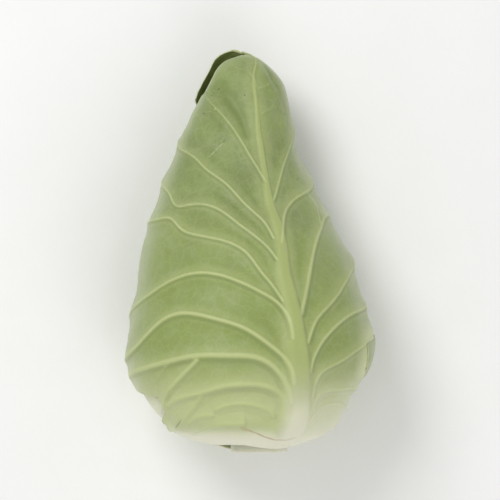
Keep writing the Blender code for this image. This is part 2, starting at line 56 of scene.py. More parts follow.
# millimetres, tip first: y, left edge x, right edge x, underside z, half thickness
HEAD_STATIONS = (
    (111.0, -4.0, -4.0, 45.0, 0.0),
    (110.7, -7.4, -0.6, 41.8, 3.2),
    (109.6, -12.2, 3.6, 37.4, 7.4),
    (107.0, -17.0, 8.2, 32.8, 11.8),
    (102.5, -20.4, 13.4, 28.6, 15.8),
    (96.5, -23.4, 18.2, 25.2, 19.2),
    (85.5, -29.2, 22.0, 21.0, 23.2),
    (74.0, -35.0, 24.0, 18.4, 26.2),
    (57.5, -41.4, 26.4, 14.4, 30.4),
    (40.5, -48.6, 34.2, 9.6, 36.8),
    (23.5, -54.4, 42.2, 6.2, 43.0),
    (1.0, -61.4, 54.8, 4.2, 50.6),
    (-27.0, -65.0, 63.4, 4.2, 55.8),
    (-52.0, -69.4, 68.2, 4.2, 58.8),
    (-69.0, -67.4, 63.0, 5.6, 57.0),
    (-83.0, -61.4, 55.6, 9.6, 51.6),
    (-96.0, -51.0, 50.0, 15.8, 44.6),
    (-104.0, -37.6, 40.0, 24.6, 34.8),
    (-107.8, -24.0, 29.8, 34.0, 25.0),
    (-109.2, -12.2, 22.2, 41.8, 17.2),
)
print("stations measured:", len(HEAD_STATIONS))

# %% [markdown]
# To find the body between the stations we need a smooth curve through given values. Blender's
# curves draw one, but here each value is wanted at any place, so a natural cubic spline does it.

# %% A smooth curve through given values
def natural_spline(knots, values):
    """A smooth curve through the values at the knots, as a function of the knot value."""
    knots = np.asarray(knots, float)
    values = np.asarray(values, float)
    step = np.diff(knots)
    size = len(knots)
    matrix = np.eye(size)
    right = np.zeros_like(values)
    for row in range(1, size - 1):
        matrix[row, row - 1:row + 2] = step[row - 1], 2 * (step[row - 1] + step[row]), step[row]
        ahead = (values[row + 1] - values[row]) / step[row]
        behind = (values[row] - values[row - 1]) / step[row - 1]
        right[row] = 6 * (ahead - behind)
    bend = np.linalg.solve(matrix, right)

    def curve(where):
        where = np.clip(np.asarray(where, float), knots[0], knots[-1])
        cell = np.clip(np.searchsorted(knots, where) - 1, 0, size - 2)
        gap = step[cell][:, None]
        gone = (where - knots[cell])[:, None]
        left = gap - gone
        cubic = (bend[cell] * left ** 3 + bend[cell + 1] * gone ** 3) / (6 * gap)
        start = (values[cell] / gap - bend[cell] * gap / 6) * left
        end = (values[cell + 1] / gap - bend[cell + 1] * gap / 6) * gone
        return cubic + start + end

    return curve


def chord_knots(points):
    """How far along a line of points each one lies."""
    gaps = np.linalg.norm(np.diff(np.asarray(points, float), axis=0), axis=1)
    return np.concatenate([[0.0], np.cumsum(gaps)])


# %% The skin of the body
HEAD_SAMPLES = 1200
SMALL_SHARE = 0.001
SMALL_TURN = 0.1


def head_curve():
    rows = np.array(HEAD_STATIONS)
    half_width = (rows[:, 2] - rows[:, 1]) / 2
    columns = ((rows[:, 1] + rows[:, 2]) / 2, half_width, rows[:, 0], rows[:, 3] + rows[:, 4],
               rows[:, 4])
    knots = chord_knots(np.stack([rows[:, 0], half_width], axis=1))
    return natural_spline(knots / knots[-1], np.stack(columns, axis=1)), knots[-1]


SECTION, HEAD_LENGTH = head_curve()
ALONG = np.linspace(0.0, 1.0, HEAD_SAMPLES)
Y_ALONG = SECTION(ALONG)[:, 2]


print("profile length", round(float(HEAD_LENGTH), 1), "mm from tip to stump")


def share_at(y):
    """How far along the body the section at y lies: 0 at the tip, 1 at the stump."""
    return np.interp(-np.asarray(y, float), -Y_ALONG, ALONG)


def skin(share, angle):
    centre_x, half_width, y, centre_z, half_thick = SECTION(share).T
    turn = np.radians(angle)
    above = centre_z + half_thick * np.cos(turn) - PRESSED_Z
    pressed = 0.5 * (above + np.sqrt(above ** 2 + 4.0 * PRESSED_SOFTNESS ** 2))
    return np.stack([centre_x + half_width * np.sin(turn), y, PRESSED_Z + pressed], axis=1)


def on_head(share, angle, depth):
    """Points at a depth under the body's skin, measured square to the skin."""
    ahead, behind = np.clip(share + SMALL_SHARE, 0, 1), np.clip(share - SMALL_SHARE, 0, 1)
    along = skin(ahead, angle) - skin(behind, angle)
    around = skin(share, angle + SMALL_TURN) - skin(share, angle - SMALL_TURN)
    normal = np.cross(around, along)
    normal /= np.linalg.norm(normal, axis=1)[:, None]
    return skin(share, angle) + normal * depth[:, None]


# %% Places of points seen from above
def from_plan(points):
    """Places along and round the body of points seen from above."""
    places = []
    for x, y in points:
        share = share_at([y])
        centre_x, half_width = SECTION(share)[0, :2]
        side = max(-1.0, min(1.0, (x - centre_x) / half_width))
        places.append((share[0], math.degrees(math.asin(side))))
    return places


print("the origin lies at share and angle", [round(float(v), 2) for v in from_plan([(0, 0)])[0]])

# %% [markdown]
# The leaves lie in layers, as they grew: the back leaf outside, then the big front leaf, then three
# leaves tucked inside, each about 137 degrees round from the one before. Nothing on a leaf changes
# all at once, so most measures ease from one value to another.

# %% Layers
# millimetres from one layer to the next, at the tip and on the body
LAYER = (1.7, 2.6)
TIP_SHARE = 0.2


def ease(share):
    share = np.clip(share, 0.0, 1.0)
    return share * share * (3.0 - 2.0 * share)


def past(value, start, span, most=1.0):
    """How far over a span a value has gone up from a start, eased: from 0 to the most given."""
    return most * ease((value - start) / span)


def below(value, start, span, most=1.0):
    """The same, downwards."""
    return most * ease((start - value) / span)


def between(pair, share):
    """The value at a share of the way from the first of a pair to the second."""
    return pair[0] + (pair[1] - pair[0]) * share


def layer_depth(layer, share):
    return (layer - 1) * between(LAYER, ease(share / TIP_SHARE))


print("layer 4 lies", round(layer_depth(4, 1.0), 1), "mm under the skin")

# %% Outlines of the two wrapper leaves
# the front midrib's x and y seen from above, and each margin's y and angle round the body
FRONT_MIDRIB = (
    (2.4, 109.4), (2.1, 100.0), (3.0, 88.0), (4.0, 75.0), (6.0, 57.0), (7.7, 46.0), (11.0, 27.0),
    (15.5, 13.0), (19.0, -12.0), (23.5, -31.0), (26.0, -50.0), (27.0, -70.0), (26.5, -88.0),
    (22.0, -102.0), (17.0, -108.0),
)
FRONT_LEFT_MARGIN = (
    (109.0, -72.0), (106.0, -70.0), (99.0, -70.0), (94.5, -72.0), (90.5, -75.0), (86.0, -96.0),
    (80.0, -114.0), (70.0, -121.0), (60.0, -121.0), (40.0, -119.0), (20.0, -117.0),
    (-20.0, -116.0), (-60.0, -114.0), (-74.0, -106.0), (-83.5, -54.0), (-88.0, -54.0),
    (-96.0, -68.0), (-102.0, -86.0), (-107.5, -88.0),
)
FRONT_RIGHT_MARGIN = (
    (108.0, 108.0), (98.0, 118.0), (85.0, 122.0), (60.0, 121.0), (40.0, 119.0), (10.0, 116.0),
    (-40.0, 112.0), (-54.0, 77.0), (-59.0, 82.0), (-66.0, 90.0), (-72.0, 102.0), (-80.0, 104.0),
    (-88.0, 102.0), (-98.0, 98.0), (-107.5, 86.0),
)
BACK_LEFT_MARGIN = (
    (109.5, -96.0), (104.0, -100.0), (96.0, -97.0), (90.0, -97.0), (86.0, -104.0), (80.0, -122.0),
    (70.0, -127.0), (60.0, -125.0), (40.0, -119.0), (20.0, -115.0), (-20.0, -113.0),
    (-60.0, -115.0), (-76.0, -124.0), (-92.0, -132.0), (-109.0, -136.0),
)
BACK_RIGHT_MARGIN = (
    (109.0, 140.0), (98.0, 132.0), (80.0, 122.0), (60.0, 117.0), (40.0, 114.0), (10.0, 112.0),
    (-45.0, 104.0), (-51.5, 70.0), (-59.0, 74.0), (-64.5, 78.0), (-68.5, 84.0), (-73.0, 108.0),
    (-84.0, 110.0), (-96.0, 118.0), (-109.0, 134.0),
)
print("the front midrib goes through", len(FRONT_MIDRIB), "points")

# %% How the two margins part
# they part at the tip's left: from which y and over how much
TIP_PARTS = (101.0, 8.0)
# from which angle, over how many degrees, and by how many millimetres each leaf leans
FRONT_DRAWN_IN = (-25.0, 45.0, 0.6)
BACK_LEANS = (205.0, 40.0)
BACK_LEAN = 0.9
BACK_LEAN_AT_TIP = 1.1


def lean(leaf, share, angle):
    """How far the back leaf stands out at its left, and the front leaf draws in at the tip."""
    at_tip = past(SECTION(share)[:, 2], *TIP_PARTS)
    if leaf.name == "front_leaf":
        return -at_tip * below(angle, *FRONT_DRAWN_IN)
    if leaf.name == "back_leaf":
        return past(angle, *BACK_LEANS) * (BACK_LEAN + BACK_LEAN_AT_TIP * at_tip)
    return np.zeros(len(share))


# %% Where a leaf lies
# a leaf narrows to its tip over this share of the head, more bluntly with a smaller power
APEX_SHARE = 0.035


def eased(stations, where):
    """Value between stations, easing from each one to the next; stations run downwards in y."""
    ys = np.array([-station[0] for station in stations])
    values = np.array([station[1] for station in stations])
    where = np.clip(-np.asarray(where, float), ys[0], ys[-1])
    cell = np.clip(np.searchsorted(ys, where) - 1, 0, len(ys) - 2)
    share = (where - ys[cell]) / (ys[cell + 1] - ys[cell])
    return values[cell] + (values[cell + 1] - values[cell]) * ease(share)


class Leaf:
    """Where a leaf lies: its layer, its midrib, its two margins, and its reach along the head."""

    def __init__(self, name, layer, midrib, margins, top_y, foot_y, apex_power=0.8):
        self.name = name
        self.layer = layer
        self.midrib = midrib
        self.margins = margins
        self.apex_power = apex_power
        self.top = float(share_at([top_y])[0])
        self.foot = float(share_at([foot_y])[0])
        self.ribs = []

    def midrib_angle(self, share):
        return self.midrib(np.atleast_1d(share))[:, 0]

    def margin_angle(self, share, side):
        share = np.atleast_1d(share)
        wing = eased(self.margins[side], SECTION(share)[:, 2]) - self.midrib_angle(share)
        into_apex = np.clip((share - self.top) / APEX_SHARE, 0.0, 1.0)
        narrowing = np.sqrt(1.0 - (1.0 - into_apex) ** 2) ** self.apex_power
        return self.midrib_angle(share) + wing * narrowing


# %% The five leaves
FRONT_TOP_Y = 110.9
FRONT_FOOT_Y = -108.6
FRONT_APEX_POWER = 0.35
BACK_TOP_Y = 110.8
LEAF_FOOT_Y = -109.0
# name, layer, midrib angle, top y, wings at the tip, on the body and at the base
RULED_LEAVES = (
    ("left_leaf", 2, -114.0, 82.0, 44.0, 96.0, 48.0),
    ("right_leaf", 3, 104.0, 103.0, 52.0, 90.0, 46.0),
    ("inner_leaf", 4, -30.0, 100.0, 62.0, 84.0, 46.0),
)


# a hidden leaf's margin: how wide it starts, then y, which wing, and how many degrees less than it;
# the first rows' y is taken down from the leaf's top
MARGIN_START = 0.4
MARGIN_UNDER_TOP = ((7.0, 0, 0.0), (40.0, 1, 8.0))
MARGIN_ON_BODY = ((0.0, 1, 0.0), (-45.0, 1, 7.0), (-80.0, 1, 0.0), (-98.0, 1, 14.0),
                  (LEAF_FOOT_Y, 2, 0.0))


def ruled_margin(midrib, side, top_y, wings):
    """A hidden leaf's margin: blunt at the top, a little waisted, and narrower at its foot."""
    rows = [(top_y, MARGIN_START * wings[0])]
    rows += [(top_y - drop, wings[which] - less) for drop, which, less in MARGIN_UNDER_TOP]
    rows += [(y, wings[which] - less) for y, which, less in MARGIN_ON_BODY]
    return tuple((y, midrib + side * wing) for y, wing in rows)


def straight_midrib(angle):
    return natural_spline([0.0, 0.5, 1.0], [[angle], [angle], [angle]])


front_places = np.array(from_plan(FRONT_MIDRIB))
front = Leaf("front_leaf", 1, natural_spline(front_places[:, 0], front_places[:, 1:]),
             {-1: FRONT_LEFT_MARGIN, 1: FRONT_RIGHT_MARGIN}, FRONT_TOP_Y, FRONT_FOOT_Y,
             FRONT_APEX_POWER)
back = Leaf("back_leaf", 0, straight_midrib(180.0),
            {-1: BACK_RIGHT_MARGIN, 1: tuple((y, angle + 360.0) for y, angle in BACK_LEFT_MARGIN)},
            BACK_TOP_Y, LEAF_FOOT_Y)
ruled = [Leaf(name, layer, straight_midrib(angle),
              {side: ruled_margin(angle, side, top_y, wings) for side in (-1, 1)}, top_y, LEAF_FOOT_Y)
         for name, layer, angle, top_y, *wings in RULED_LEAVES]
print("leaves", [leaf.name for leaf in [back, front] + ruled])

# %% [markdown]
# The outer face of a cabbage leaf is its underside, so the veins stand out on it like cords. On the
# front leaf they are the thing that the eye knows it by, so each is laid one by one through a few
# points, in millimetres as seen from above, with its half width at the midrib and at its end.
# The hidden leaves follow a rule: veins climb steeply near the tip and arch over near the stump.

# %% Ribs of the front leaf
# half width at the start and at the end, rise, points' x and y, places past the outline (angle, y)
FRONT_RIBS = (
    (0.6, 0.35, 0.30, ((3.2, 91.5), (1.7, 98.0), (-2.3, 102.0), (-9.0, 104.0)), ()),
    (0.8, 0.60, 0.55, ((9.2, 37.0), (4.4, 46.1), (0.6, 52.6), (-3.7, 60.2), (-9.1, 68.8),
     (-18.2, 80.0), (-25.3, 90.8)), ()),
    (0.5, 0.35, 0.25, ((-18.2, 80.0), (-24.2, 78.5), (-32.7, 74.8)), ()),
    (1.0, 0.70, 0.65, ((13.8, 6.0), (8.4, 15.2), (-2.8, 26.4), (-15.5, 39.7), (-24.2, 46.1),
     (-30.5, 52.7), (-39.7, 59.6)), ((-100.0, 66.0),)),
    (1.0, 0.80, 0.65, ((15.6, -6.0), (9.5, 2.5), (3.4, 8.0), (-4.7, 13.9), (-19.8, 24.6),
     (-30.5, 26.3), (-40.8, 25.7), (-44.5, 32.2), (-48.9, 37.7)), ((-105.0, 44.0),)),
    (1.1, 0.80, 0.70, ((19.0, -29.0), (10.4, -16.3), (7.1, -12.5), (-2.8, 0.0), (-25.3, 8.3),
     (-37.1, 11.8), (-44.6, 18.7), (-50.0, 18.3), (-56.4, 16.6)), ((-106.0, 15.0),)),
    (1.4, 0.90, 0.75, ((23.2, -50.0), (22.8, -44.0), (21.5, -38.3), (18.0, -31.5), (8.0, -23.5),
     (-5.3, -16.9), (-25.3, -11.8), (-41.3, -15.2), (-57.4, -25.5),
     (-64.1, -31.0)), ((-102.0, -40.0),)),
    (1.7, 1.20, 0.80, ((23.6, -74.0), (22.2, -64.0), (17.5, -57.0), (9.0, -50.0), (0.0, -43.9),
     (-20.9, -36.6), (-41.3, -35.0), (-52.0, -41.6), (-59.6, -49.5),
     (-65.8, -56.0)), ((-108.0, -63.0),)),
    (2.2, 1.50, 0.80, ((22.8, -85.0), (20.5, -75.0), (16.8, -67.5), (6.0, -58.9), (-10.0, -57.2),
     (-28.4, -57.3), (-42.4, -60.0), (-57.5, -64.3), (-64.5, -67.0)), ((-102.0, -72.0),)),
    (0.8, 0.50, 0.35, ((-42.4, -60.0), (-48.9, -66.4), (-53.2, -74.0)), ()),
    (1.5, 1.40, 0.65, ((-27.2, -58.0), (-33.0, -63.7), (-38.7, -69.5), (-44.4, -76.4),
     (-46.9, -82.0), (-48.4, -88.0), (-48.2, -95.9), (-46.0, -101.0)), ()),
    (3.0, 1.30, 1.00, ((20.0, -95.0), (19.0, -90.0), (19.4, -84.7), (17.8, -79.3), (13.5, -75.6),
     (7.1, -73.4), (-3.7, -72.9), (-14.4, -74.0), (-25.2, -77.2), (-37.1, -80.4), (-43.5, -83.6),
     (-47.0, -87.0)), ()),
    (1.4, 1.20, 0.50, ((-25.2, -77.2), (-29.5, -83.6), (-36.0, -92.3), (-41.3, -100.7)), ()),
    (1.3, 1.60, 0.55, ((14.6, -92.3), (10.4, -88.0), (1.7, -84.7), (-9.0, -84.2), (-17.7, -86.9),
     (-22.0, -90.0)), ()),
    (1.4, 1.20, 0.45, ((-18.7, -90.6), (-24.2, -90.6), (-30.5, -92.3), (-36.0, -98.0)), ()),
    (1.6, 1.20, 0.50, ((-1.0, -95.0), (-9.0, -95.5), (-15.5, -95.5), (-24.2, -98.2),
     (-32.7, -103.0)), ()),
    (0.6, 0.35, 0.30, ((3.9, 91.7), (7.9, 93.1), (13.5, 96.0)), ()),
    (0.6, 0.35, 0.30, ((5.3, 77.0), (9.0, 79.3), (15.0, 82.5)), ()),
    (0.9, 0.70, 0.60, ((12.2, 27.0), (15.8, 38.6), (17.8, 47.3), (21.1, 56.9),
     (23.8, 65.5)), ((100.0, 73.0),)),
    (1.1, 0.80, 0.70, ((17.0, 3.0), (17.9, 12.9), (20.0, 23.6), (24.3, 29.0), (30.8, 33.2),
     (33.5, 42.9)), ((100.0, 50.0),)),
    (0.7, 0.70, 0.50, ((30.8, 33.2), (35.1, 27.9), (38.0, 19.3), (39.0, 13.9)), ()),
    (1.5, 1.00, 0.80, ((27.4, -37.0), (29.7, -27.6), (32.4, -13.7), (37.2, 8.5), (39.4, 13.9),
     (41.0, 19.0), (43.1, 21.9)), ((100.0, 28.0),)),
    (1.2, 0.80, 0.70, ((31.0, -52.0), (33.5, -44.9), (36.2, -38.5), (42.6, -30.9), (50.1, -21.2),
     (54.5, -13.7), (57.4, -7.3)), ((102.0, 2.0),)),
    (1.3, 0.90, 0.75, ((32.6, -68.0), (34.5, -60.0), (39.4, -50.3), (48.0, -40.6), (55.5, -35.2),
     (64.1, -29.8)), ((104.0, -24.0),)),
    (1.3, 0.90, 0.75, ((34.0, -82.0), (35.1, -75.0), (39.4, -66.4), (46.9, -62.1), (55.5, -56.8),
     (63.0, -51.4), (66.0, -48.0)), ((96.0, -42.0),)),
    (1.6, 1.20, 0.65, ((33.6, -89.0), (35.4, -83.3), (39.4, -78.2), (46.9, -76.1),
     (56.6, -75.6)), ((96.0, -77.0),)),
    (1.5, 1.10, 0.50, ((32.6, -94.0), (39.4, -86.3), (50.0, -84.7)), ((94.0, -88.0),)),
)
print("ribs drawn by hand:", len(FRONT_RIBS))

# %% Lay a rib on a leaf
RIB_SAMPLE = 0.6
RISE_LOST = 0.35
# ribs thinner than this are drawn this wide, and fainter instead, or the grid would break them
THINNEST = 0.95
FAINT = 1.5
# they run in and out softly, over this many half widths
RUN_IN = 1.8
RUN_OUT = 3.5


def rib_places(places):
    """Evenly spaced places along a smooth line on the head."""
    places = np.array(places, float)
    knots = chord_knots(skin(places[:, 0], places[:, 1]))
    count = int(knots[-1] / RIB_SAMPLE) + 2
    return natural_spline(knots, places)(np.linspace(0.0, knots[-1], count))


def add_rib(leaf, places, start, end, rise):
    """Keeps a rib's points, half widths, rises, which way is down from it, and how faint it is."""
    path = rib_places(places)
    points = skin(path[:, 0], path[:, 1])
    outward = on_head(path[:, 0], path[:, 1], np.full(len(path), -1.0)) - points
    downhill = np.cross(outward, np.gradient(points, axis=0))
    downhill /= np.linalg.norm(downhill, axis=1)[:, None]
    downhill *= -np.sign(downhill[:, 1].sum())
    share = np.linspace(0.0, 1.0, len(points))
    width = between((start, end), share)
    from_end = np.minimum(share / RUN_IN, (1.0 - share) / RUN_OUT) * len(points) * RIB_SAMPLE
    full = ease(from_end / width)
    faint = FAINT * (1.0 - full + np.maximum(1.0 - width / THINNEST, 0.0))
    leaf.ribs.append((points, np.maximum(width, THINNEST), rise * full * (1.0 - RISE_LOST * share),
                      downhill, faint))


for start, end, rise, points, beyond in FRONT_RIBS:
    places = from_plan(points)
    places += [(float(share_at([y])[0]), angle) for angle, y in beyond]
    add_rib(front, places, start, end, rise)
print("front leaf:", sum(len(rib[0]) for rib in front.ribs), "rib samples")

# %% Ribs by rule
RULED_RIBS = 8
# the first root lies this far under the leaf's top, and the last root and rib end at these y
FIRST_ROOT = 18.0
LAST_ROOT_Y = -96.0
LAST_END_Y = -101.0
ROOT_SCATTER = 2.0
# of the ribs near the tip and near the base: how far a rib climbs, how far its end drops again,
# its half width and its rise
CLIMB = (46.0, 30.0)
DROP = (-12.0, 28.0)
RULED_WIDTH = (1.0, 1.5)
RULED_RISE = (0.5, 0.75)
# how much of the way to the margin a rib reaches
RULED_REACH = (0.93, 0.98)
# a rib's root, knee, arch and end: how far across to the margin; then its fork, the same
RIB_ACROSS = (0.0, 0.2, 0.6, 1.0)
FORK_ACROSS = (0.6, 0.78, 0.93)
KNEE = 0.62
FORK_DROP = 9.0
# half width at the end as a share of the rib's; the fork's half width, so too, its end and its rise
END_WIDTH = 0.6
FORK = (0.55, 0.4, 0.3)
# a rib stays this far under the leaf's top, and its end further, the more the lower it starts
TOP_MARGIN = 4.0
END_MARGIN = (6.0, 4.0)
BACK_RIBS_TOP_Y = 109.5
BACK_SEED = 11
HIDDEN_SEED = 21


def rule_ribs(leaf, top_y, seed):
    """Side veins that climb steeply near the tip and arch over near the base, each with a fork."""
    draw = np.random.default_rng(seed)
    for side in (-1, 1):
        for number in range(RULED_RIBS):
            share = (number + 0.5) / RULED_RIBS
            root_y = between((top_y - FIRST_ROOT, LAST_ROOT_Y), share)
            root_y += draw.uniform(-ROOT_SCATTER, ROOT_SCATTER)
            climb = min(between(CLIMB, share), 0.8 * (top_y - TOP_MARGIN - root_y))
            end_y = min(root_y + climb - between(DROP, share),
                        top_y - END_MARGIN[0] - END_MARGIN[1] * number)
            end_y = max(end_y, LAST_END_Y)
            arch_y = 0.5 * (root_y + climb + end_y)
            root, knee, arch, end, fork = share_at([root_y, root_y + KNEE * climb, arch_y, end_y,
                                                    end_y - FORK_DROP])
            middle = float(leaf.midrib_angle(root)[0])
            wing = (float(leaf.margin_angle(end, side)[0]) - middle) * draw.uniform(*RULED_REACH)
            rib = zip((root, knee, arch, end), RIB_ACROSS)
            branch = zip((arch, 0.5 * (arch + fork), fork), FORK_ACROSS)
            width = between(RULED_WIDTH, share)
            add_rib(leaf, [(place, middle + part * wing) for place, part in rib], width,
                    END_WIDTH * width, between(RULED_RISE, share))
            add_rib(leaf, [(place, middle + part * wing) for place, part in branch],
                    FORK[0] * width, *FORK[1:])


rule_ribs(back, BACK_RIBS_TOP_Y, BACK_SEED)
for number, leaf in enumerate(ruled):
    rule_ribs(leaf, RULED_LEAVES[number][3], HIDDEN_SEED + number)
print("back leaf:", len(back.ribs), "ribs")

# %% [markdown]
# Now the surface. Each point of a leaf is measured against the ribs. A rib is a rounded cord on the
# crest of a low fold, which is gentle above it and steep below it. Sculpting could do this, but a
# formula gives the colour the same ribs to follow: the measures are kept on the mesh as attributes.

# %% Relief of the ribs
# in half widths of a rib: its cord, its pale line, and the painted shade on its lower side
CORD_WIDTH = 0.85
LINE_WIDTH = 0.62
PAINTED_SHADE_AT = 1.5
PAINTED_SHADE_WIDTH = 0.8
# in millimetres: how high a rib's fold is full, and how far the fold reaches above and below it
FULL_RISE = 0.6
FOLD_ABOVE = 11.0
FOLD_BELOW = 8.0
# the distance from a rib is counted up to this, in line widths, and points are taken this many at once
FAR = 8.0
CHUNK = 4000


def near(points, samples, reach):
    """Which points lie in the box round a line of samples."""
    low, high = samples.min(0) - reach, samples.max(0) + reach
    return np.flatnonzero(np.all((points > low) & (points < high), axis=1))


def in_chunks(chosen):
    """Parts of a long choice, so that a table of distances stays small."""
    return np.array_split(chosen, max(1, len(chosen) // CHUNK))


def rib_relief(points, ribs):
    """For each point: the cord's rise, the fold's, the distance in line widths, the painted shade."""
    cord, fold, under = np.zeros((3, len(points)))
    line = np.full(len(points), FAR)
    for samples, widths, rises, downhill, faint in ribs:
        for part in in_chunks(near(points, samples, FOLD_ABOVE)):
            away = points[part][:, None] - samples[None]
            gaps = np.linalg.norm(away, axis=2)
            best = gaps.argmin(axis=1)
            row = np.arange(len(part))
            gap = gaps[row, best]
            lower = np.sign(np.einsum("ij,ij->i", away[row, best], downhill[best]))
            across = gap / widths[best]
            size = np.clip(rises[best] / FULL_RISE, 0.0, 1.0)
            reach = np.where(lower > 0, FOLD_BELOW, FOLD_ABOVE)
            # painted shade: a dark band just below each rib, where its fold would shade the blade
            shade = size * np.exp(-((lower * across - PAINTED_SHADE_AT) / PAINTED_SHADE_WIDTH) ** 2)
            rise = rises[best] * np.exp(-(across / CORD_WIDTH) ** 2)
            cord[part] = np.maximum(cord[part], rise)
            fold[part] = np.maximum(fold[part], size * (1.0 - ease(gap / reach)))
            line[part] = np.minimum(line[part], across / LINE_WIDTH + faint[best])
            under[part] = np.maximum(under[part], shade)
    return cord, fold, line, under


# %% [markdown]
# The midrib is the leaf's main beam, and it thickens towards the stump. On the front leaf one side
# of it runs softly out into the blade and the other drops off steeply, so it gets its own shape.

# %% Relief of the midrib
MIDRIB_HALF_WIDTH = (
    (109.0, 0.5), (92.0, 0.9), (46.0, 1.7), (8.0, 3.1), (-25.0, 4.4), (-74.0, 8.0), (-104.0, 9.0),
)
MIDRIB_RISE = (
    (109.0, 0.35), (92.0, 0.6), (46.0, 0.9), (8.0, 1.3), (-25.0, 1.8), (-74.0, 2.4), (-98.0, 1.6),
    (-107.0, 0.7),
)
MIDRIB_SAMPLES = 420
# how much wider the midrib is on its soft side, and how far up its slope reaches on each side
SOFT_SIDE = 1.5
SOFT_SLOPE = 0.75
STEEP_SLOPE = 0.4


def distance_to(line, points):
    """How far each point lies from a line, given as samples close together."""
    gap = np.empty(len(points))
    for part in in_chunks(np.arange(len(points))):
        gap[part] = np.linalg.norm(points[part][:, None] - line[None], axis=2).min(axis=1)
    return gap


def midrib_shape(leaf, share, angle, points):
    """How far up the midrib's slope, 0 at its foot and 1 at its crest, and the way beyond it."""
    along = np.linspace(leaf.top, leaf.foot, MIDRIB_SAMPLES)
    gap = distance_to(skin(along, leaf.midrib_angle(along)), points)
    half = eased(MIDRIB_HALF_WIDTH, SECTION(share)[:, 2])
    soft = angle < leaf.midrib_angle(share)
    reach = np.where(soft, SOFT_SIDE, 1.0) * half
    slope = np.where(soft, SOFT_SLOPE, STEEP_SLOPE) * reach
    return np.clip((reach - gap) / slope, -1.0, 2.0), np.maximum(gap - half, 0.0)


# %% [markdown]
# The blade grew faster than its ribs, so it swells between them and is never quite even. A sum of
# low waves gives that. The hidden leaves are held tight, so their relief is halved.

# %% Relief of the blade
# how many waves, their length and their rise; then how high the folds stand and the blade sinks
PUCKERS = 26
PUCKER_LENGTH = (9.0, 26.0)
PUCKER_RISE = 0.16
FOLD_RISE = 1.3
VALLEY = 0.3
# how much of the swelling there is, at the tip and on the body
SWELLING = (0.4, 1.0)
# a hidden leaf keeps this share of its relief, up to this rise
HIDDEN_SHARE = 0.5
HIDDEN_RISE_LIMIT = 0.6


def pucker(points, seed):
    draw = np.random.default_rng(seed)
    total = np.zeros(len(points))
    for _ in range(PUCKERS):
        way = draw.normal(size=3)
        wave = way / np.linalg.norm(way) * 2.0 * math.pi / draw.uniform(*PUCKER_LENGTH)
        total += np.sin(points @ wave + draw.uniform(0.0, 2.0 * math.pi))
    return PUCKER_RISE * total / math.sqrt(PUCKERS / 2)


def relief(leaf, share, angle):
    points = skin(share, angle)
    cord, fold, line, under = rib_relief(points, leaf.ribs)
    slope, beyond = midrib_shape(leaf, share, angle, points)
    fold = np.maximum(fold, 1.0 - ease(beyond / FOLD_ABOVE))
    size = between(SWELLING, ease(share / TIP_SHARE))
    hump = eased(MIDRIB_RISE, points[:, 1]) * ease(slope)
    rise = np.maximum(hump, cord) + size * (FOLD_RISE * fold - VALLEY + pucker(points, leaf.layer))
    if leaf.layer > 1:
        rise = np.minimum(HIDDEN_SHARE * rise, HIDDEN_RISE_LIMIT)
    return rise, {"rib": line, "under": under, "midrib": slope, "glow": fold}


# %% [markdown]
# A leaf is a closed sheet: a fine grid outside, a grid three times coarser inside, where nobody
# looks closely, and a rim that joins them. Solidify would do it too, but at twice the triangles.

# %% Rows and columns of a leaf
# fine steps to one coarse step, and where the first row lies under the leaf's top
GRID_STEP = 3
APEX_START = 0.0008
# rows crowd at the front leaf's tear: its y, within how far of it, over how much, how many more
TEAR_ROWS_Y = -79.0
TEAR_ROWS = (12.6, 9.0, 1.6)
# inside the leaf the columns follow a calmer margin, smoothed over this many millimetres; they turn
# to the real margin with this power of the way to it, and at the tip they all do
SMOOTH_OVER = 14.0
SHIFT_POWER = 1.4
CALM_OVER = 3.0 * APEX_SHARE


def smoothed(values, share):
    """A running mean of the margin's angle, weighted over a stretch of the leaf."""
    gaps = (share[:, None] - share[None]) * HEAD_LENGTH / SMOOTH_OVER
    weights = np.exp(-gaps ** 2)
    return weights @ values / weights.sum(axis=1)


def leaf_rows(leaf, cell):
    """Where the rows lie along the leaf: a cell apart, and closer at the front leaf's tear."""
    share = np.linspace(leaf.top + APEX_START, leaf.foot, HEAD_SAMPLES)
    y = SECTION(share)[:, 2]
    dense = 1.0 + (leaf.name == "front_leaf") * below(np.abs(y - TEAR_ROWS_Y), *TEAR_ROWS)
    total = np.concatenate([[0.0], np.cumsum(0.5 * (dense[1:] + dense[:-1]) * np.diff(share))])
    steps = GRID_STEP * int(total[-1] * HEAD_LENGTH / cell / GRID_STEP)
    return np.interp(np.linspace(0.0, total[-1], steps + 1), total, share)


def leaf_places(leaf, cell):
    """Places of a grid over the leaf, from its top to its foot and from margin to margin."""
    share = leaf_rows(leaf, cell)
    middle = leaf.midrib_angle(share)
    left = leaf.margin_angle(share, -1)
    right = leaf.margin_angle(share, 1)
    widest = float(SECTION(share)[:, 1].max())
    left_columns = int(math.radians(np.median(middle - left)) * widest / cell)
    right_columns = int(math.radians(np.median(right - middle)) * widest / cell)
    right_columns += -(left_columns + right_columns) % GRID_STEP
    across = np.concatenate([np.linspace(-1.0, 0.0, left_columns + 1),
                             np.linspace(0.0, 1.0, right_columns + 1)[1:]])
    is_left = across[None, :] < 0
    own = np.where(is_left, (middle - left)[:, None], (right - middle)[:, None])
    smooth = np.where(is_left, smoothed(middle - left, share)[:, None],
                      smoothed(right - middle, share)[:, None])
    calm = past(share, leaf.top, CALM_OVER)[:, None]
    own_part = 1.0 - calm * (1.0 - np.abs(across[None, :]) ** SHIFT_POWER)
    angle = middle[:, None] + across[None, :] * (smooth + (own - smooth) * own_part)
    return np.repeat(share[:, None], len(across), axis=1), angle, across


# %% Faces of a grid and its rim
def grid_faces(rows, columns, start):
    index = start + np.arange(rows * columns).reshape(rows, columns)
    quads = np.stack([index[:-1, :-1], index[1:, :-1], index[1:, 1:], index[:-1, 1:]], axis=-1)
    return quads.reshape(-1, 4).tolist()


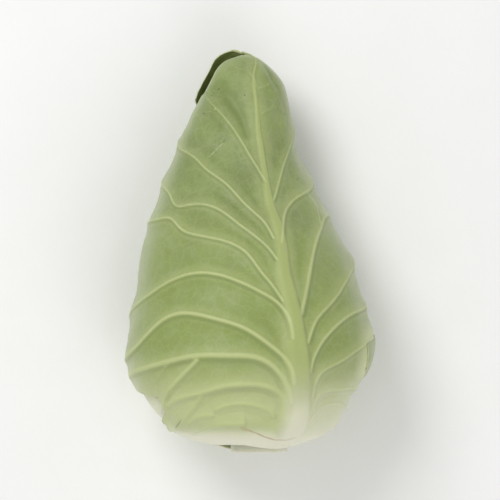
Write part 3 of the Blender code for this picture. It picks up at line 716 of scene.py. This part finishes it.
def border(rows, columns):
    """Row and column of each step round a grid's border, in order."""
    path = [(0, column) for column in range(columns)]
    path += [(row, columns - 1) for row in range(1, rows)]
    path += [(rows - 1, column) for column in range(columns - 2, -1, -1)]
    path += [(row, 0) for row in range(rows - 2, 0, -1)]
    return path


def rim_faces(rows, columns, start):
    """Joins the fine outer border to the inner one, three outer steps to one inner step."""
    inner_columns = (columns - 1) // GRID_STEP + 1
    path = border(rows, columns)
    faces = []
    for step in range(0, len(path), GRID_STEP):
        run = [path[(step + offset) % len(path)] for offset in range(GRID_STEP + 1)]
        outer = [row * columns + column for row, column in run]
        inner = [start + row // GRID_STEP * inner_columns + column // GRID_STEP
                 for row, column in (run[0], run[-1])]
        faces.append(inner + outer[::-1])
    return faces


# %% [markdown]
# Every piece is made the same way: points and faces become a mesh, the faces are turned outward,
# the measures go on it as attributes, and it takes the place of its plain solid. The formulas work
# in millimetres on a body of their own, so each piece is shifted onto the solids and scaled.

# %% Make a piece
MM = 0.001
TABLE_Z = 2.9
CENTRING = np.array((-0.99, 0.64, -TABLE_Z))


def put_in_scene(name, data):
    thing = bpy.data.objects.new(name, data)
    bpy.context.scene.collection.objects.link(thing)
    return thing


def make_piece(name, points, faces, materials, face_slots, masks):
    mesh = bpy.data.meshes.new(name)
    mesh.from_pydata(((points + CENTRING) * MM).tolist(), [], faces)
    for material in materials:
        mesh.materials.append(material)
    mesh.polygons.foreach_set("material_index", np.array(face_slots, dtype=np.int32))
    for key, values in masks.items():
        mesh.attributes.new(key, "FLOAT", "POINT").data.foreach_set("value", values)
    shell = bmesh.new()
    shell.from_mesh(mesh)
    bmesh.ops.recalc_face_normals(shell, faces=shell.faces)
    open_edges = sum(not edge.is_manifold for edge in shell.edges)
    volume = shell.calc_volume(signed=True)
    shell.to_mesh(mesh)
    shell.free()
    mesh.shade_smooth()
    piece = put_in_scene(name + "_skin", mesh)
    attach(piece, "root")
    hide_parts(name)
    triangles = sum(len(face) - 2 for face in faces)
    print(name, triangles, "triangles,", round(volume * 1e6, 1), "ml,", open_edges, "open edges")


# %% [markdown]
# The blade of a real leaf is about half a millimetre thick, and its margin is thinner still. The
# outer face carries the relief, the inner face is smooth, and nothing goes through the table.

# %% Build a leaf
# thickness at the margin and away from it, and over how much it tapers
BLADE = (0.45, 0.75)
MARGIN_TAPER = 10.0


def build_leaf(leaf, cell, shape, materials):
    share, angle, across = leaf_places(leaf, cell)
    rows, columns = share.shape
    wing = np.where(across[None, :] < 0, angle[:, :1], angle[:, -1:]) - angle
    to_margin = (np.radians(np.abs(wing)) * SECTION(share[:, 0])[:, 1:2]).ravel()
    share, angle = share.ravel(), angle.ravel()
    rise, masks = shape(leaf, share, angle, to_margin, *relief(leaf, share, angle))
    depth = layer_depth(leaf.layer, share) - lean(leaf, share, angle)
    outer = on_head(share, angle, depth - rise)
    outer[:, 2] = np.maximum(outer[:, 2], TABLE_Z)
    blade = between(BLADE, ease(to_margin / MARGIN_TAPER))
    inside = np.arange(rows * columns).reshape(rows, columns)[::GRID_STEP, ::GRID_STEP]
    inner = on_head(share, angle, depth + np.maximum(-rise, 0.0) + blade)[inside.ravel()]
    faces = grid_faces(rows, columns, 0)
    inner_faces = grid_faces(*inside.shape, len(outer))
    rim = rim_faces(rows, columns, len(outer))
    slots = [0] * len(faces) + [1] * len(inner_faces) + [0] * len(rim)
    masks = {key: np.concatenate([values, values[inside.ravel()]]) for key, values in masks.items()}
    faces += [face[::-1] for face in inner_faces] + rim
    make_piece(leaf.name, np.concatenate([outer, inner]), faces, materials, slots, masks)


# %% [markdown]
# Colours are given as they look on a screen, so one function turns them to the linear light that
# Blender works in. One more adds a node: its settings, and a value, a colour or a link a socket.

# %% Colour and nodes
def srgb(text):
    values = [int(text[place:place + 2], 16) / 255 for place in (1, 3, 5)]
    return tuple(v / 12.92 if v <= 0.04045 else ((v + 0.055) / 1.055) ** 2.4 for v in values) + (1.0,)


def add_node(tree, kind, settings=None, sockets=None, out=0):
    node = tree.nodes.new(kind)
    for name, value in (settings or {}).items():
        setattr(node, name, value)
    for name, value in (sockets or {}).items():
        if isinstance(value, bpy.types.NodeSocket):
            tree.links.new(value, node.inputs[name])
        else:
            node.inputs[name].default_value = srgb(value) if isinstance(value, str) else value
    return node.outputs[out] if node.outputs else None


def new_material(name):
    material = bpy.data.materials.new(name)
    material.use_nodes = True
    material.node_tree.nodes.clear()
    print("material", name)
    return material, material.node_tree


# %% [markdown]
# What a leaf's colour follows: the measures kept on the mesh, unevenness of a few sizes, and the
# fine net of veins that joins the ribs. A real net has meshes of 1 to 3 mm, and the finest can't
# show from here, so it is drawn about twice as coarse.

# %% Patterns of a leaf
LEAF_MASKS = ("rib", "under", "midrib", "glow", "pale", "foot", "fresh", "limb")
# size of a blotch in mm, detail, roughness, distortion
LEAF_NOISE = {"tone": (26.0, 4.0, 0.55, 0.0), "wax": (13.0, 5.0, 0.6, 0.6),
              "rub": (5.0, 3.0, 0.5, 0.0), "grain": (1.2, 3.0, 0.6, 0.0)}
# size of a mesh in mm, and how far its sides wander, in meshes
LEAF_NETS = {"net": 7.0, "fine net": 2.6}
NET_WANDER = 0.9


def add_patterns(tree, masks, noises):
    """Where a point is, the measures kept on the mesh, and unevenness of a few sizes."""
    place = add_node(tree, "ShaderNodeTexCoord", out="Object")
    found = {"place": place}
    for key in masks:
        found[key] = add_node(tree, "ShaderNodeAttribute", {"attribute_name": key}, out="Fac")
    for key, (size, detail, roughness, distortion) in noises.items():
        found[key] = add_node(tree, "ShaderNodeTexNoise", {},
                              {"Vector": place, "Scale": 1.0 / (size * MM), "Detail": detail,
                               "Roughness": roughness, "Distortion": distortion}, "Fac")
    return found


def leaf_patterns(tree):
    found = add_patterns(tree, LEAF_MASKS, LEAF_NOISE)
    place = found["place"]
    for key, mesh_size in LEAF_NETS.items():
        warp = add_node(tree, "ShaderNodeTexNoise", {},
                        {"Vector": place, "Scale": 0.6 / (mesh_size * MM)}, "Color")
        wander = add_node(tree, "ShaderNodeVectorMath", {"operation": "MULTIPLY_ADD"},
                          {0: warp, 1: (NET_WANDER * mesh_size * MM,) * 3, 2: place}, "Vector")
        found[key] = add_node(tree, "ShaderNodeTexVoronoi", {"feature": "DISTANCE_TO_EDGE"},
                              {"Vector": wander, "Scale": 1.0 / (mesh_size * MM)}, "Distance")
    return found


# %% [markdown]
# A cabbage leaf's skin is green tissue under a thin bloom of wax. The wax makes it matt and greyish,
# most of all where the leaf turns away from you; on the sides of the head that grey is partly painted
# sheen. Ribs hold no green, so they show pale, and the blade pales to cream towards the stump. Each
# line below lays one tone over those before it, and some lay painted light and shade.

# %% Layers of colour
# what the layer follows, from and to of that, strength at each, and the tone that it lays on
UNDERSIDE_LAYERS = (
    ("tone", 0.35, 0.68, 0.0, 1.0, "shade"),
    ("fresh", 0.0, 1.0, 0.0, 0.8, "fresh"),
    ("wax", 0.40, 0.74, 0.0, 0.22, "bloom_and_painted_sheen"),
    # partly the wax's own bloom, partly painted sheen: the sides of the head greyer and paler
    ("limb", 0.0, 1.0, 0.0, 0.7, "bloom_and_painted_sheen"),
    ("net", 0.0, 0.09, 0.09, 0.0, "vein"),
    ("fine net", 0.0, 0.16, 0.05, 0.0, "vein"),
    # lighter over each rib's fold: partly paler tissue near the ribs, partly painted light on the
    # folds
    ("glow", 0.3, 1.0, 0.0, 0.25, "vein"),
    # painted shade: darker below each rib and in the front leaf's valleys
    ("under", 0.0, 1.0, 0.0, 0.6, "shade"),
    ("pale", 0.0, 1.0, 0.0, 1.0, "pale"),
    ("midrib", 0.0, 1.0, 0.0, 0.85, "beam"),
    ("rib", 0.3, 1.7, 0.85, 0.0, "vein"),
    ("foot", 0.0, 1.0, 0.0, 0.9, "cream"),
)
UPPER_LAYERS = (
    ("tone", 0.35, 0.68, 0.0, 1.0, "shade"),
    ("net", 0.0, 0.08, 0.15, 0.0, "vein"),
    ("rib", 0.5, 1.3, 0.6, 0.0, "vein"),
    ("pale", 0.0, 1.0, 0.0, 0.9, "pale"),
    ("foot", 0.0, 1.0, 0.0, 0.9, "cream"),
)
print("layers of colour:", len(UNDERSIDE_LAYERS), "outside,", len(UPPER_LAYERS), "inside")

# %% [markdown]
# A real leaf carries small scars, and they make it one leaf and not another. Each is painted where
# it lies, as an oval of its own tone; two long dark strokes among them are painted shade, not scars.
# An image would do it too, but it would have to be drawn first.

# %% Marks on the front leaf
# x, y, length and width in mm, turn in degrees, strength. The scratch comes first, then the specks,
# whose last two strokes are painted shade along a crease and under a margin, then the foot of the
# midrib, where the thin edge of the cut has dried tan.
LEAF_MARKS = {"pale": (
    (-16.4, 59.8, 3.2, 0.8, 46.0, 0.28), (-18.6, 57.8, 2.8, 0.8, 44.0, 0.24),
    (-20.9, 55.4, 3.6, 0.9, 46.0, 0.28), (-22.6, 53.8, 1.8, 1.1, 20.0, 0.2),
), "speck_and_painted_shade": (
    (-17.6, 91.7, 1.6, 0.9, 50.0, 0.75), (-3.0, 88.1, 1.3, 0.8, -30.0, 0.7),
    (-25.9, 78.0, 1.2, 1.1, 0.0, 0.75), (-24.3, 89.6, 1.2, 0.7, -40.0, 0.6),
    (-21.4, 88.1, 1.0, 0.8, 0.0, 0.5), (19.7, 77.6, 1.8, 1.0, 60.0, 0.3),
    (-14.6, 62.2, 2.4, 1.1, 40.0, 0.45), (26.6, 41.0, 2.2, 1.0, 45.0, 0.25),
    # painted shade: a dark stroke along the crease near the foot, and the margin's cast shadow
    (-40.2, -96.4, 10.0, 1.2, 55.0, 0.4), (-53.6, -82.2, 9.0, 1.2, 26.0, 0.3),
), "tan": (
    (-3.4, -98.6, 5.0, 2.6, -30.0, 0.3), (0.4, -99.8, 7.0, 1.2, -22.0, 0.5),
    (5.6, -101.9, 8.0, 1.1, -24.0, 0.6), (11.0, -104.0, 8.5, 1.1, -17.0, 0.6),
    (17.0, -104.9, 9.0, 1.0, -2.0, 0.5), (23.0, -104.2, 8.0, 1.0, 14.0, 0.4),
)}
MARK_DEPTH = 8.0
# a mark is full up to this share of its half size, and gone at the other
MARK_EDGE = (0.4, 1.3)


print("marks:", {tone: len(marks) for tone, marks in LEAF_MARKS.items()})


# %% Tones laid over one another
def lay_tone(tree, colour, tone, value, low, high, at_low, at_high):
    """The colour with a tone laid over it, as strongly as a value says, and that strength."""
    strength = add_node(tree, "ShaderNodeMapRange", {"interpolation_type": "SMOOTHSTEP"},
                        {"Value": value, "From Min": low, "From Max": high,
                         "To Min": at_low, "To Max": at_high})
    mixed = {0: strength, 6: colour, 7: tone}
    return add_node(tree, "ShaderNodeMix", {"data_type": "RGBA"}, mixed, 2), strength


def lay_colours(tree, found, layers, tones):
    """The tones laid over one another, and how far each layer reaches."""
    colour = tones["blade"]
    reach = {}
    for key, low, high, at_low, at_high, tone in layers:
        limits = (low, high, at_low, at_high)
        colour, reach[key] = lay_tone(tree, colour, tones[tone], found[key], *limits)
    return colour, reach


def add_marks(tree, place, colour, marks, tone):
    """Small oval marks where they are on the leaf, each in a space of its own, turned and sized."""
    for x, y, length, width, turn, strength in marks:
        share, angle = np.array(from_plan([(x, y)])).T
        local = add_node(tree, "ShaderNodeMapping", {"vector_type": "TEXTURE"},
                         {"Vector": place, "Location": (skin(share, angle)[0] + CENTRING) * MM,
                          "Rotation": (0, 0, math.radians(turn)),
                          "Scale": (length * MM / 2, width * MM / 2, MARK_DEPTH * MM)})
        away = add_node(tree, "ShaderNodeVectorMath", {"operation": "LENGTH"}, {0: local}, "Value")
        colour, _ = lay_tone(tree, colour, tone, away, *MARK_EDGE, strength, 0.0)
    return colour


# %% [markdown]
# The underside of the leaf is what shows. Wax over plant tissue is matt, with an index near 1.45,
# and light goes a millimetre or so into the blade and comes out yellow-green.

# %% Leaf skins
LEAF_IOR = 1.45
LIGHT_REACH = (0.6, 1.0, 0.25)
# where the wax is rubbed the roughness goes this much up and down
RUBBED = 0.06


def leaf_skin(name, layers, tones, roughness, sheen, marks):
    material, tree = new_material(name)
    found = leaf_patterns(tree)
    colour, reach = lay_colours(tree, found, layers, tones)
    for tone, places in marks.items():
        colour = add_marks(tree, found["place"], colour, places, tones[tone])
    rough = add_node(tree, "ShaderNodeMapRange", {},
                     {"Value": found["rub"], "From Min": 0.3, "From Max": 0.7,
                      "To Min": roughness - RUBBED, "To Max": roughness + RUBBED})
    height = add_node(tree, "ShaderNodeMath", {"operation": "MULTIPLY_ADD"},
                      {0: reach["rib"], 1: 1.6, 2: found["grain"]})
    bump = add_node(tree, "ShaderNodeBump", {},
                    {"Strength": 0.6, "Distance": 0.15 * MM, "Height": height}, "Normal")
    surface = add_node(tree, "ShaderNodeBsdfPrincipled", {},
                       {"Base Color": colour, "Roughness": rough, "Normal": bump, "IOR": LEAF_IOR,
                        "Subsurface Weight": 0.12, "Subsurface Scale": 1.5 * MM,
                        "Subsurface Radius": LIGHT_REACH, "Sheen Weight": sheen,
                        "Sheen Roughness": 0.45, "Sheen Tint": "#eef1e6"})
    add_node(tree, "ShaderNodeOutputMaterial", {}, {"Surface": surface})
    return material


# %% Skins of the outer, young and upper faces
OUTER_TONES = {"blade": "#8a995b", "shade": "#768648", "fresh": "#8a9b50", "bloom_and_painted_sheen": "#a7b08a",
               "vein": "#bdc68a", "beam": "#a9b571", "pale": "#d5daa6", "cream": "#eae8d3",
               "tan": "#a98a5e", "speck_and_painted_shade": "#4c5230"}
YOUNG_TONES = {"blade": "#abb874", "shade": "#9ba960", "fresh": "#b7c17e", "bloom_and_painted_sheen": "#b9c192",
               "vein": "#d3d9a6", "beam": "#cdd49c", "pale": "#e6e7ca", "cream": "#eae7d2"}
UPPER_TONES = {"blade": "#a3b068", "shade": "#94a258", "vein": "#bcc68c", "pale": "#ccd2a2",
               "cream": "#e6e4cc"}

outer_skin = leaf_skin("waxy underside of an outer cabbage leaf", UNDERSIDE_LAYERS, OUTER_TONES,
                       0.52, 0.3, LEAF_MARKS)
young_skin = leaf_skin("waxy underside of a young cabbage leaf", UNDERSIDE_LAYERS, YOUNG_TONES,
                       0.48, 0.25, {})
upper_skin = leaf_skin("smooth upper face of a cabbage leaf", UPPER_LAYERS, UPPER_TONES, 0.42, 0.1,
                       {})

# %% [markdown]
# Each leaf adds its own accidents to the general form. The front leaf pales towards the stump, and
# it has a soft valley beside the upper midrib and a crease running down from its tip. Painted shade
# darkens the valleys.

# %% Creases of the front leaf
# half width and rise of each crease, and its points x and y
CREASES = (
    (3.6, -1.0, ((-15.0, 95.0), (-9.2, 82.0), (-5.2, 76.5), (-2.0, 66.0))),
    (1.6, 0.6, ((5.0, 104.5), (12.4, 91.0), (16.9, 82.7), (19.0, 70.0))),
    (1.6, -0.5, ((9.0, 104.0), (12.5, 97.0), (16.0, 92.0))),
    (0.8, -0.7, ((-37.1, -92.8), (-40.5, -97.5), (-43.3, -101.6))),
)


def crease_rise(points):
    total = np.zeros(len(points))
    for width, rise, line in CREASES:
        path = rib_places(from_plan(line))
        samples = skin(path[:, 0], path[:, 1])
        chosen = near(points, samples, 3.0 * width)
        total[chosen] += rise * np.exp(-(distance_to(samples, points[chosen]) / width) ** 2)
    return total


# %% The front leaf's own forms
# each tuple says from which y, angle or distance on a leaf changes, over how much, and how strongly
FRESH = (70.0, 120.0)
PALE = (-40.0, 52.0, 0.56)
LOW_PALE = (-87.0, 22.0, 0.95)
LEFT_PALE = (-25.0, 40.0, 0.65)
LEFT_PALE_Y = (-66.0, 24.0)
PALE_EDGE = (1.6, 1.6, 0.7)
FOOT = (-94.0, 14.0)
MIDRIB_FOOT = (-50.0, 62.0)
RIGHT_FOOT = 0.7
FRONT_SIDE_SHEEN = (46.0, 38.0)
# the lip of the tear at the right: its angle and y, its spread, its rise, and how pale it is
TEAR_LIP = (88.0, -58.0)
TEAR_LIP_SPREAD = (25.0, 17.0)
TEAR_LIP_RISE = 1.6
TEAR_LIP_PALE = 0.7


def patch(angle, y, middle, spread, power):
    """1 in the middle of an oval patch of a leaf, fading to 0 round it."""
    across = (angle - middle[0]) / spread[0]
    return np.exp(-across ** power - ((y - middle[1]) / spread[1]) ** power)


def shape_front(leaf, share, angle, to_margin, rise, masks):
    points = skin(share, angle)
    y = points[:, 1]
    lip = patch(angle, y, TEAR_LIP, TEAR_LIP_SPREAD, 4)
    crease = crease_rise(points)
    right = RIGHT_FOOT * (angle > leaf.midrib_angle(share))
    near_midrib = np.maximum(np.clip(masks["midrib"], 0.0, 1.0), right)
    masks["pale"] = np.max([below(y, *PALE), below(y, *LOW_PALE), TEAR_LIP_PALE * lip,
                            below(angle, *LEFT_PALE) * below(y, *LEFT_PALE_Y),
                            below(to_margin, *PALE_EDGE)], axis=0)
    masks["foot"] = np.maximum(below(y, *FOOT), near_midrib * below(y, *MIDRIB_FOOT))
    masks["fresh"] = below(y, *FRESH)
    # painted sheen, partly real bloom: paler grey towards the sides of the head
    masks["limb"] = past(np.abs(angle), *FRONT_SIDE_SHEEN)
    # painted shade: the creases' valleys darkened like the shade below a rib
    masks["under"] = np.maximum(masks["under"], np.clip(-crease, 0.0, 1.0))
    return (rise + crease) * (1.0 - lip) + TEAR_LIP_RISE * lip, masks


# %% The other leaves' own forms
BACK_PALE = (-50.0, 55.0, 0.95)
BACK_PALE_EDGE = (1.6, 1.6, 0.6)
BACK_SIDE_SHEEN = (44.0, 60.0)
MARGIN_WAVE = (9.0, 9.0, 0.25)
MARGIN_WAVE_RADIUS = 3.4
# beside the tear, up to this angle, the back leaf's rim presses on the front leaf
RIM_PRESSES_TO = 112.0
RIM_PRESSES = (6.0, 6.0, 0.5)
# the right leaf bulges under the tear: angle and y, spread, and rise
BULGE = (92.0, -61.0)
BULGE_SPREAD = (8.0, 11.0)
BULGE_RISE = 5.0


def shape_hidden(leaf, share, angle, to_margin, rise, masks):
    y = skin(share, angle)[:, 1]
    masks["pale"] = np.maximum(below(y, *BACK_PALE), below(to_margin, *BACK_PALE_EDGE))
    masks["foot"] = below(y, *FOOT)
    masks["fresh"] = below(y, *FRESH)
    rise = rise + np.sin(y / MARGIN_WAVE_RADIUS) * below(to_margin, *MARGIN_WAVE)
    if leaf.name == "right_leaf":
        rise += BULGE_RISE * patch(angle, y, BULGE, BULGE_SPREAD, 2)
    return rise, masks


def shape_back(leaf, share, angle, to_margin, rise, masks):
    rise, masks = shape_hidden(leaf, share, angle, to_margin, rise, masks)
    # painted sheen, partly real bloom: paler grey towards the back leaf's sides
    masks["limb"] = past(np.abs(angle - 180.0), *BACK_SIDE_SHEEN)
    return rise - (angle < RIM_PRESSES_TO) * below(to_margin, *RIM_PRESSES), masks


# %% The leaves
# millimetres from one grid point to the next
FINE_CELL = 0.95
COARSE_CELL = 1.5
build_leaf(front, FINE_CELL, shape_front, (outer_skin, upper_skin))
build_leaf(back, FINE_CELL, shape_back, (outer_skin, upper_skin))
for leaf in ruled:
    build_leaf(leaf, COARSE_CELL, shape_hidden, (young_skin, upper_skin))

# %% [markdown]
# The heart is the tight bud inside: leaves so closely wound that only their edges show. One closed
# form is enough, with a step where each leaf's edge lies over the next.

# %% A closed tube
def tube_faces(rows, columns):
    """Faces of a tube of rings, with a fan to the point after the last one, and a flat cap."""
    index = np.arange(rows * columns).reshape(rows, columns)
    following = np.roll(index, -1, axis=1)
    quads = np.stack([index[:-1], following[:-1], following[1:], index[1:]], axis=-1)
    first = index[0].tolist()
    fan = [[rows * columns, first[column - 1], first[column]] for column in range(columns)]
    return quads.reshape(-1, 4).tolist() + fan + [index[-1].tolist()]


def make_tube(name, points, pole, columns, material, masks):
    faces = tube_faces(len(points) // columns, columns)
    make_piece(name, np.concatenate([points, [pole]]), faces, [material], [0] * len(faces), masks)


# %% The heart
HEART_COLUMNS = 180
HEART_ROWS = 150
HEART_ROW_CROWDING = 1.15
# it lies this far under the inner leaf's solid, which has this thickness
HEART_LAYER = 5
HEART_CLEARANCE = 0.6
CAD_BLADE = 0.9
HEART_TIP_ROUND = 0.3
# the folds: how many, how high, how far they wind round, and from where and over how much they fade
HEART_FOLDS = 3
HEART_FOLD_STEP = 1.1
HEART_TWIST = 150.0
HEART_FOLDS_FADE = (0.3, 0.5)
FOLD_EDGE = 0.02
HEART_PALE_TIP = 0.3
HEART_PALE = (0.6, 0.4, 0.5)


def build_heart(material):
    shares = np.linspace(0.0, 1.0, HEART_ROWS + 1)[1:] ** HEART_ROW_CROWDING
    angles = np.arange(HEART_COLUMNS) * 360.0 / HEART_COLUMNS
    share, angle = (grid.ravel() for grid in np.meshgrid(shares, angles, indexing="ij"))
    turn = np.mod((angle + HEART_TWIST * (1.0 - share)) * HEART_FOLDS / 360.0, 1.0)
    fading = 1.0 - past(share, *HEART_FOLDS_FADE)
    depth = layer_depth(HEART_LAYER, share) + CAD_BLADE + HEART_CLEARANCE
    points = on_head(share, angle, depth + turn * HEART_FOLD_STEP * fading)
    base = points[-HEART_COLUMNS:]
    base[:, 1] = base[:, 1].mean()
    pole = skin(np.zeros(1), np.zeros(1))[0]
    pole[1] = points[:HEART_COLUMNS, 1].max() + HEART_TIP_ROUND
    edge = np.exp(-(np.minimum(turn, 1.0 - turn) / FOLD_EDGE) ** 2) * fading
    masks = {"rib": FAR * (1.0 - edge), "glow": edge, "midrib": -edge,
             "pale": HEART_PALE_TIP + past(share, *HEART_PALE)}
    masks = {key: np.append(values, values[0]) for key, values in masks.items()}
    make_tube("heart", points, pole, HEART_COLUMNS, material, masks)


build_heart(young_skin)

# %% [markdown]
# The stump was cut with one stroke. Its face is moist and cream, with a ring of fibres under the
# rind, and it browns at its rim as it dries. It is turned from a profile, like a lathe's work.

# %% Cut stalk
STALK_NOISE = {"tone": (4.0, 5.0, 0.5, 0.0), "pith": (0.8, 4.0, 0.5, 0.0)}
FIBRE_SPACING = 1.3
STALK_LAYERS = (
    ("tone", 0.3, 0.7, 0.0, 1.0, "shade"),
    ("ring", 0.0, 1.0, 0.0, 0.4, "wood"),
    ("fibres", 0.0, 0.3, 0.2, 0.0, "wood"),
    ("rind", 0.0, 1.0, 0.0, 0.9, "rind"),
    ("rim", 0.0, 1.0, 0.0, 0.25, "brown"),
)
STALK_TONES = {"blade": "#e8e8d4", "shade": "#dcdfbf", "wood": "#bdb788", "rind": "#e6e7cf",
               "brown": "#b89a6c"}


def stump_material():
    """Cabbage stalk, freshly cut: moist pith, a ring of woody fibres, and a pale green rind."""
    material, tree = new_material("cut cabbage stalk")
    found = add_patterns(tree, ("ring", "rim", "rind"), STALK_NOISE)
    found["fibres"] = add_node(tree, "ShaderNodeTexVoronoi", {},
                               {"Vector": found["place"], "Scale": 1.0 / (FIBRE_SPACING * MM)},
                               "Distance")
    colour, _ = lay_colours(tree, found, STALK_LAYERS, STALK_TONES)
    bump = add_node(tree, "ShaderNodeBump", {},
                    {"Strength": 0.5, "Distance": 0.2 * MM, "Height": found["pith"]}, "Normal")
    surface = add_node(tree, "ShaderNodeBsdfPrincipled", {},
                       {"Base Color": colour, "Normal": bump, "IOR": 1.4, "Roughness": 0.42,
                        "Subsurface Weight": 0.2, "Subsurface Scale": 2.0 * MM,
                        "Subsurface Radius": (1.0, 0.9, 0.5)})
    add_node(tree, "ShaderNodeOutputMaterial", {}, {"Surface": surface})
    return material


# %% The stump
STUMP_RADIUS = 16.0
STUMP_CENTRE = (5.0, 59.0)
STUMP_CUT_Y = -112.4
STUMP_SIDES = 120
STUMP_RINGS = 60
# the ring of fibres: its radius and half width; the rim and the rind: from where, over how much
FIBRE_RING = (12.0, 1.1)
RIM = (14.6, 1.2)
RIND = (0.4, 1.2)
# low waves round the stalk: rise, how many, and turn
FLUTES = ((0.12, 5, 0.0), (0.07, 13, 1.0))
STUMP_PROFILE = ((0.0, 0.0), (4.0, 0.05), (8.0, 0.0), (11.0, -0.15), (12.0, 0.25), (13.0, -0.1),
                 (14.4, 0.0), (15.4, 0.25), (15.9, 0.9), (16.0, 2.0), (15.8, 6.0), (15.9, 14.4))


def build_stump(material):
    knots = chord_knots(STUMP_PROFILE)
    places = np.linspace(0.0, knots[-1], STUMP_RINGS)[1:]
    radius, inward = natural_spline(knots, STUMP_PROFILE)(places).T
    turn = np.radians(np.arange(STUMP_SIDES) * 360.0 / STUMP_SIDES)
    flute = sum(rise * np.sin(count * turn + start) for rise, count, start in FLUTES)
    reach = radius[:, None] + flute[None, :] * (radius / STUMP_RADIUS)[:, None]
    reach = np.minimum(reach, STUMP_RADIUS)
    y = STUMP_CUT_Y + np.maximum(inward, 0.0)
    x, z = STUMP_CENTRE
    points = np.stack([x + reach * np.sin(turn), np.repeat(y[:, None], STUMP_SIDES, axis=1),
                       z + reach * np.cos(turn)], axis=-1).reshape(-1, 3)
    face = inward < RIND[1]
    masks = {"ring": np.exp(-((radius - FIBRE_RING[0]) / FIBRE_RING[1]) ** 2) * face,
             "rim": past(radius, *RIM) * face, "rind": past(inward, *RIND)}
    masks = {key: np.append(np.repeat(values, STUMP_SIDES), 0.0) for key, values in masks.items()}
    make_tube("stump", points, (x, STUMP_CUT_Y, z), STUMP_SIDES, material, masks)


build_stump(stump_material())

# %% [markdown]
# A product picture of a cabbage is lit softly from the upper left, on a white ground. A large lamp
# gives the soft shade beside the ribs, a weaker one opens it, and a bright sky fills the rest.

# %% The floor
FLOOR_SIDE = 6.0
# it lies a hair below the leaves, so that the two don't flicker, and its flecks are this large
FLOOR_Z = -0.2
FLECK = 33.3


def paper_floor():
    material, tree = new_material("matt white paper")
    place = add_node(tree, "ShaderNodeTexCoord", out="Object")
    fleck = add_node(tree, "ShaderNodeTexNoise", {}, {"Vector": place, "Scale": 1.0 / (FLECK * MM)},
                    "Fac")
    colour = add_node(tree, "ShaderNodeMix", {"data_type": "RGBA"},
                      {0: fleck, 6: "#f4f4f2", 7: "#f8f8f7"}, 2)
    surface = add_node(tree, "ShaderNodeBsdfPrincipled", {},
                       {"Base Color": colour, "Roughness": 0.9, "IOR": 1.4})
    add_node(tree, "ShaderNodeOutputMaterial", {}, {"Surface": surface})
    bpy.ops.mesh.primitive_plane_add(size=FLOOR_SIDE, location=(0.0, 0.0, FLOOR_Z * MM))
    floor = bpy.context.object
    floor.name = "floor"
    floor.data.materials.append(material)


paper_floor()

# %% Light
# name, place, size in metres, watts
LAMPS = (("key lamp", (-0.55, 0.7, 1.2), 0.7, 9.0), ("fill lamp", (0.4, -0.9, 1.1), 1.0, 4.5))
SKY = 0.56


def soft_studio():
    world = bpy.data.worlds.new("studio")
    world.use_nodes = True
    sky = world.node_tree.nodes["Background"]
    sky.inputs["Color"].default_value = srgb("#ffffff")
    sky.inputs["Strength"].default_value = SKY
    bpy.context.scene.world = world
    bpy.context.scene.view_settings.view_transform = "Standard"
    for name, place, size, watts in LAMPS:
        data = bpy.data.lights.new(name, "AREA")
        data.shape = "DISK"
        data.size = size
        data.energy = watts
        lamp = put_in_scene(name, data)
        lamp.location = place
        # a lamp shines along its own -Z, so its Z points away from the cabbage
        lamp.rotation_euler = Vector(place).to_track_quat("Z", "Y").to_euler()
        print(name, watts, "W")


soft_studio()

# %% [markdown]
# The camera looks straight down on the cabbage from far off, so that its shape is hardly distorted.
# At the height of the outline one pixel of the picture is 0.5625 mm.

# %% Camera
PHOTO_SCALE = 0.5625
PHOTO_WIDTH = 500
PHOTO_CENTRE = (0.0, 1.125)
OUTLINE_HEIGHT = 60.0
LENS = 500.0
SENSOR = 36.0


def photo_camera():
    data = bpy.data.cameras.new("camera")
    data.lens = LENS
    data.sensor_width = SENSOR
    camera = put_in_scene("camera", data)
    height = OUTLINE_HEIGHT + PHOTO_WIDTH * PHOTO_SCALE * LENS / SENSOR
    camera.location = (np.array((*PHOTO_CENTRE, height)) + CENTRING * (1, 1, 0)) * MM
    bpy.context.scene.camera = camera
    print("camera", round(height), "mm above the floor")


photo_camera()
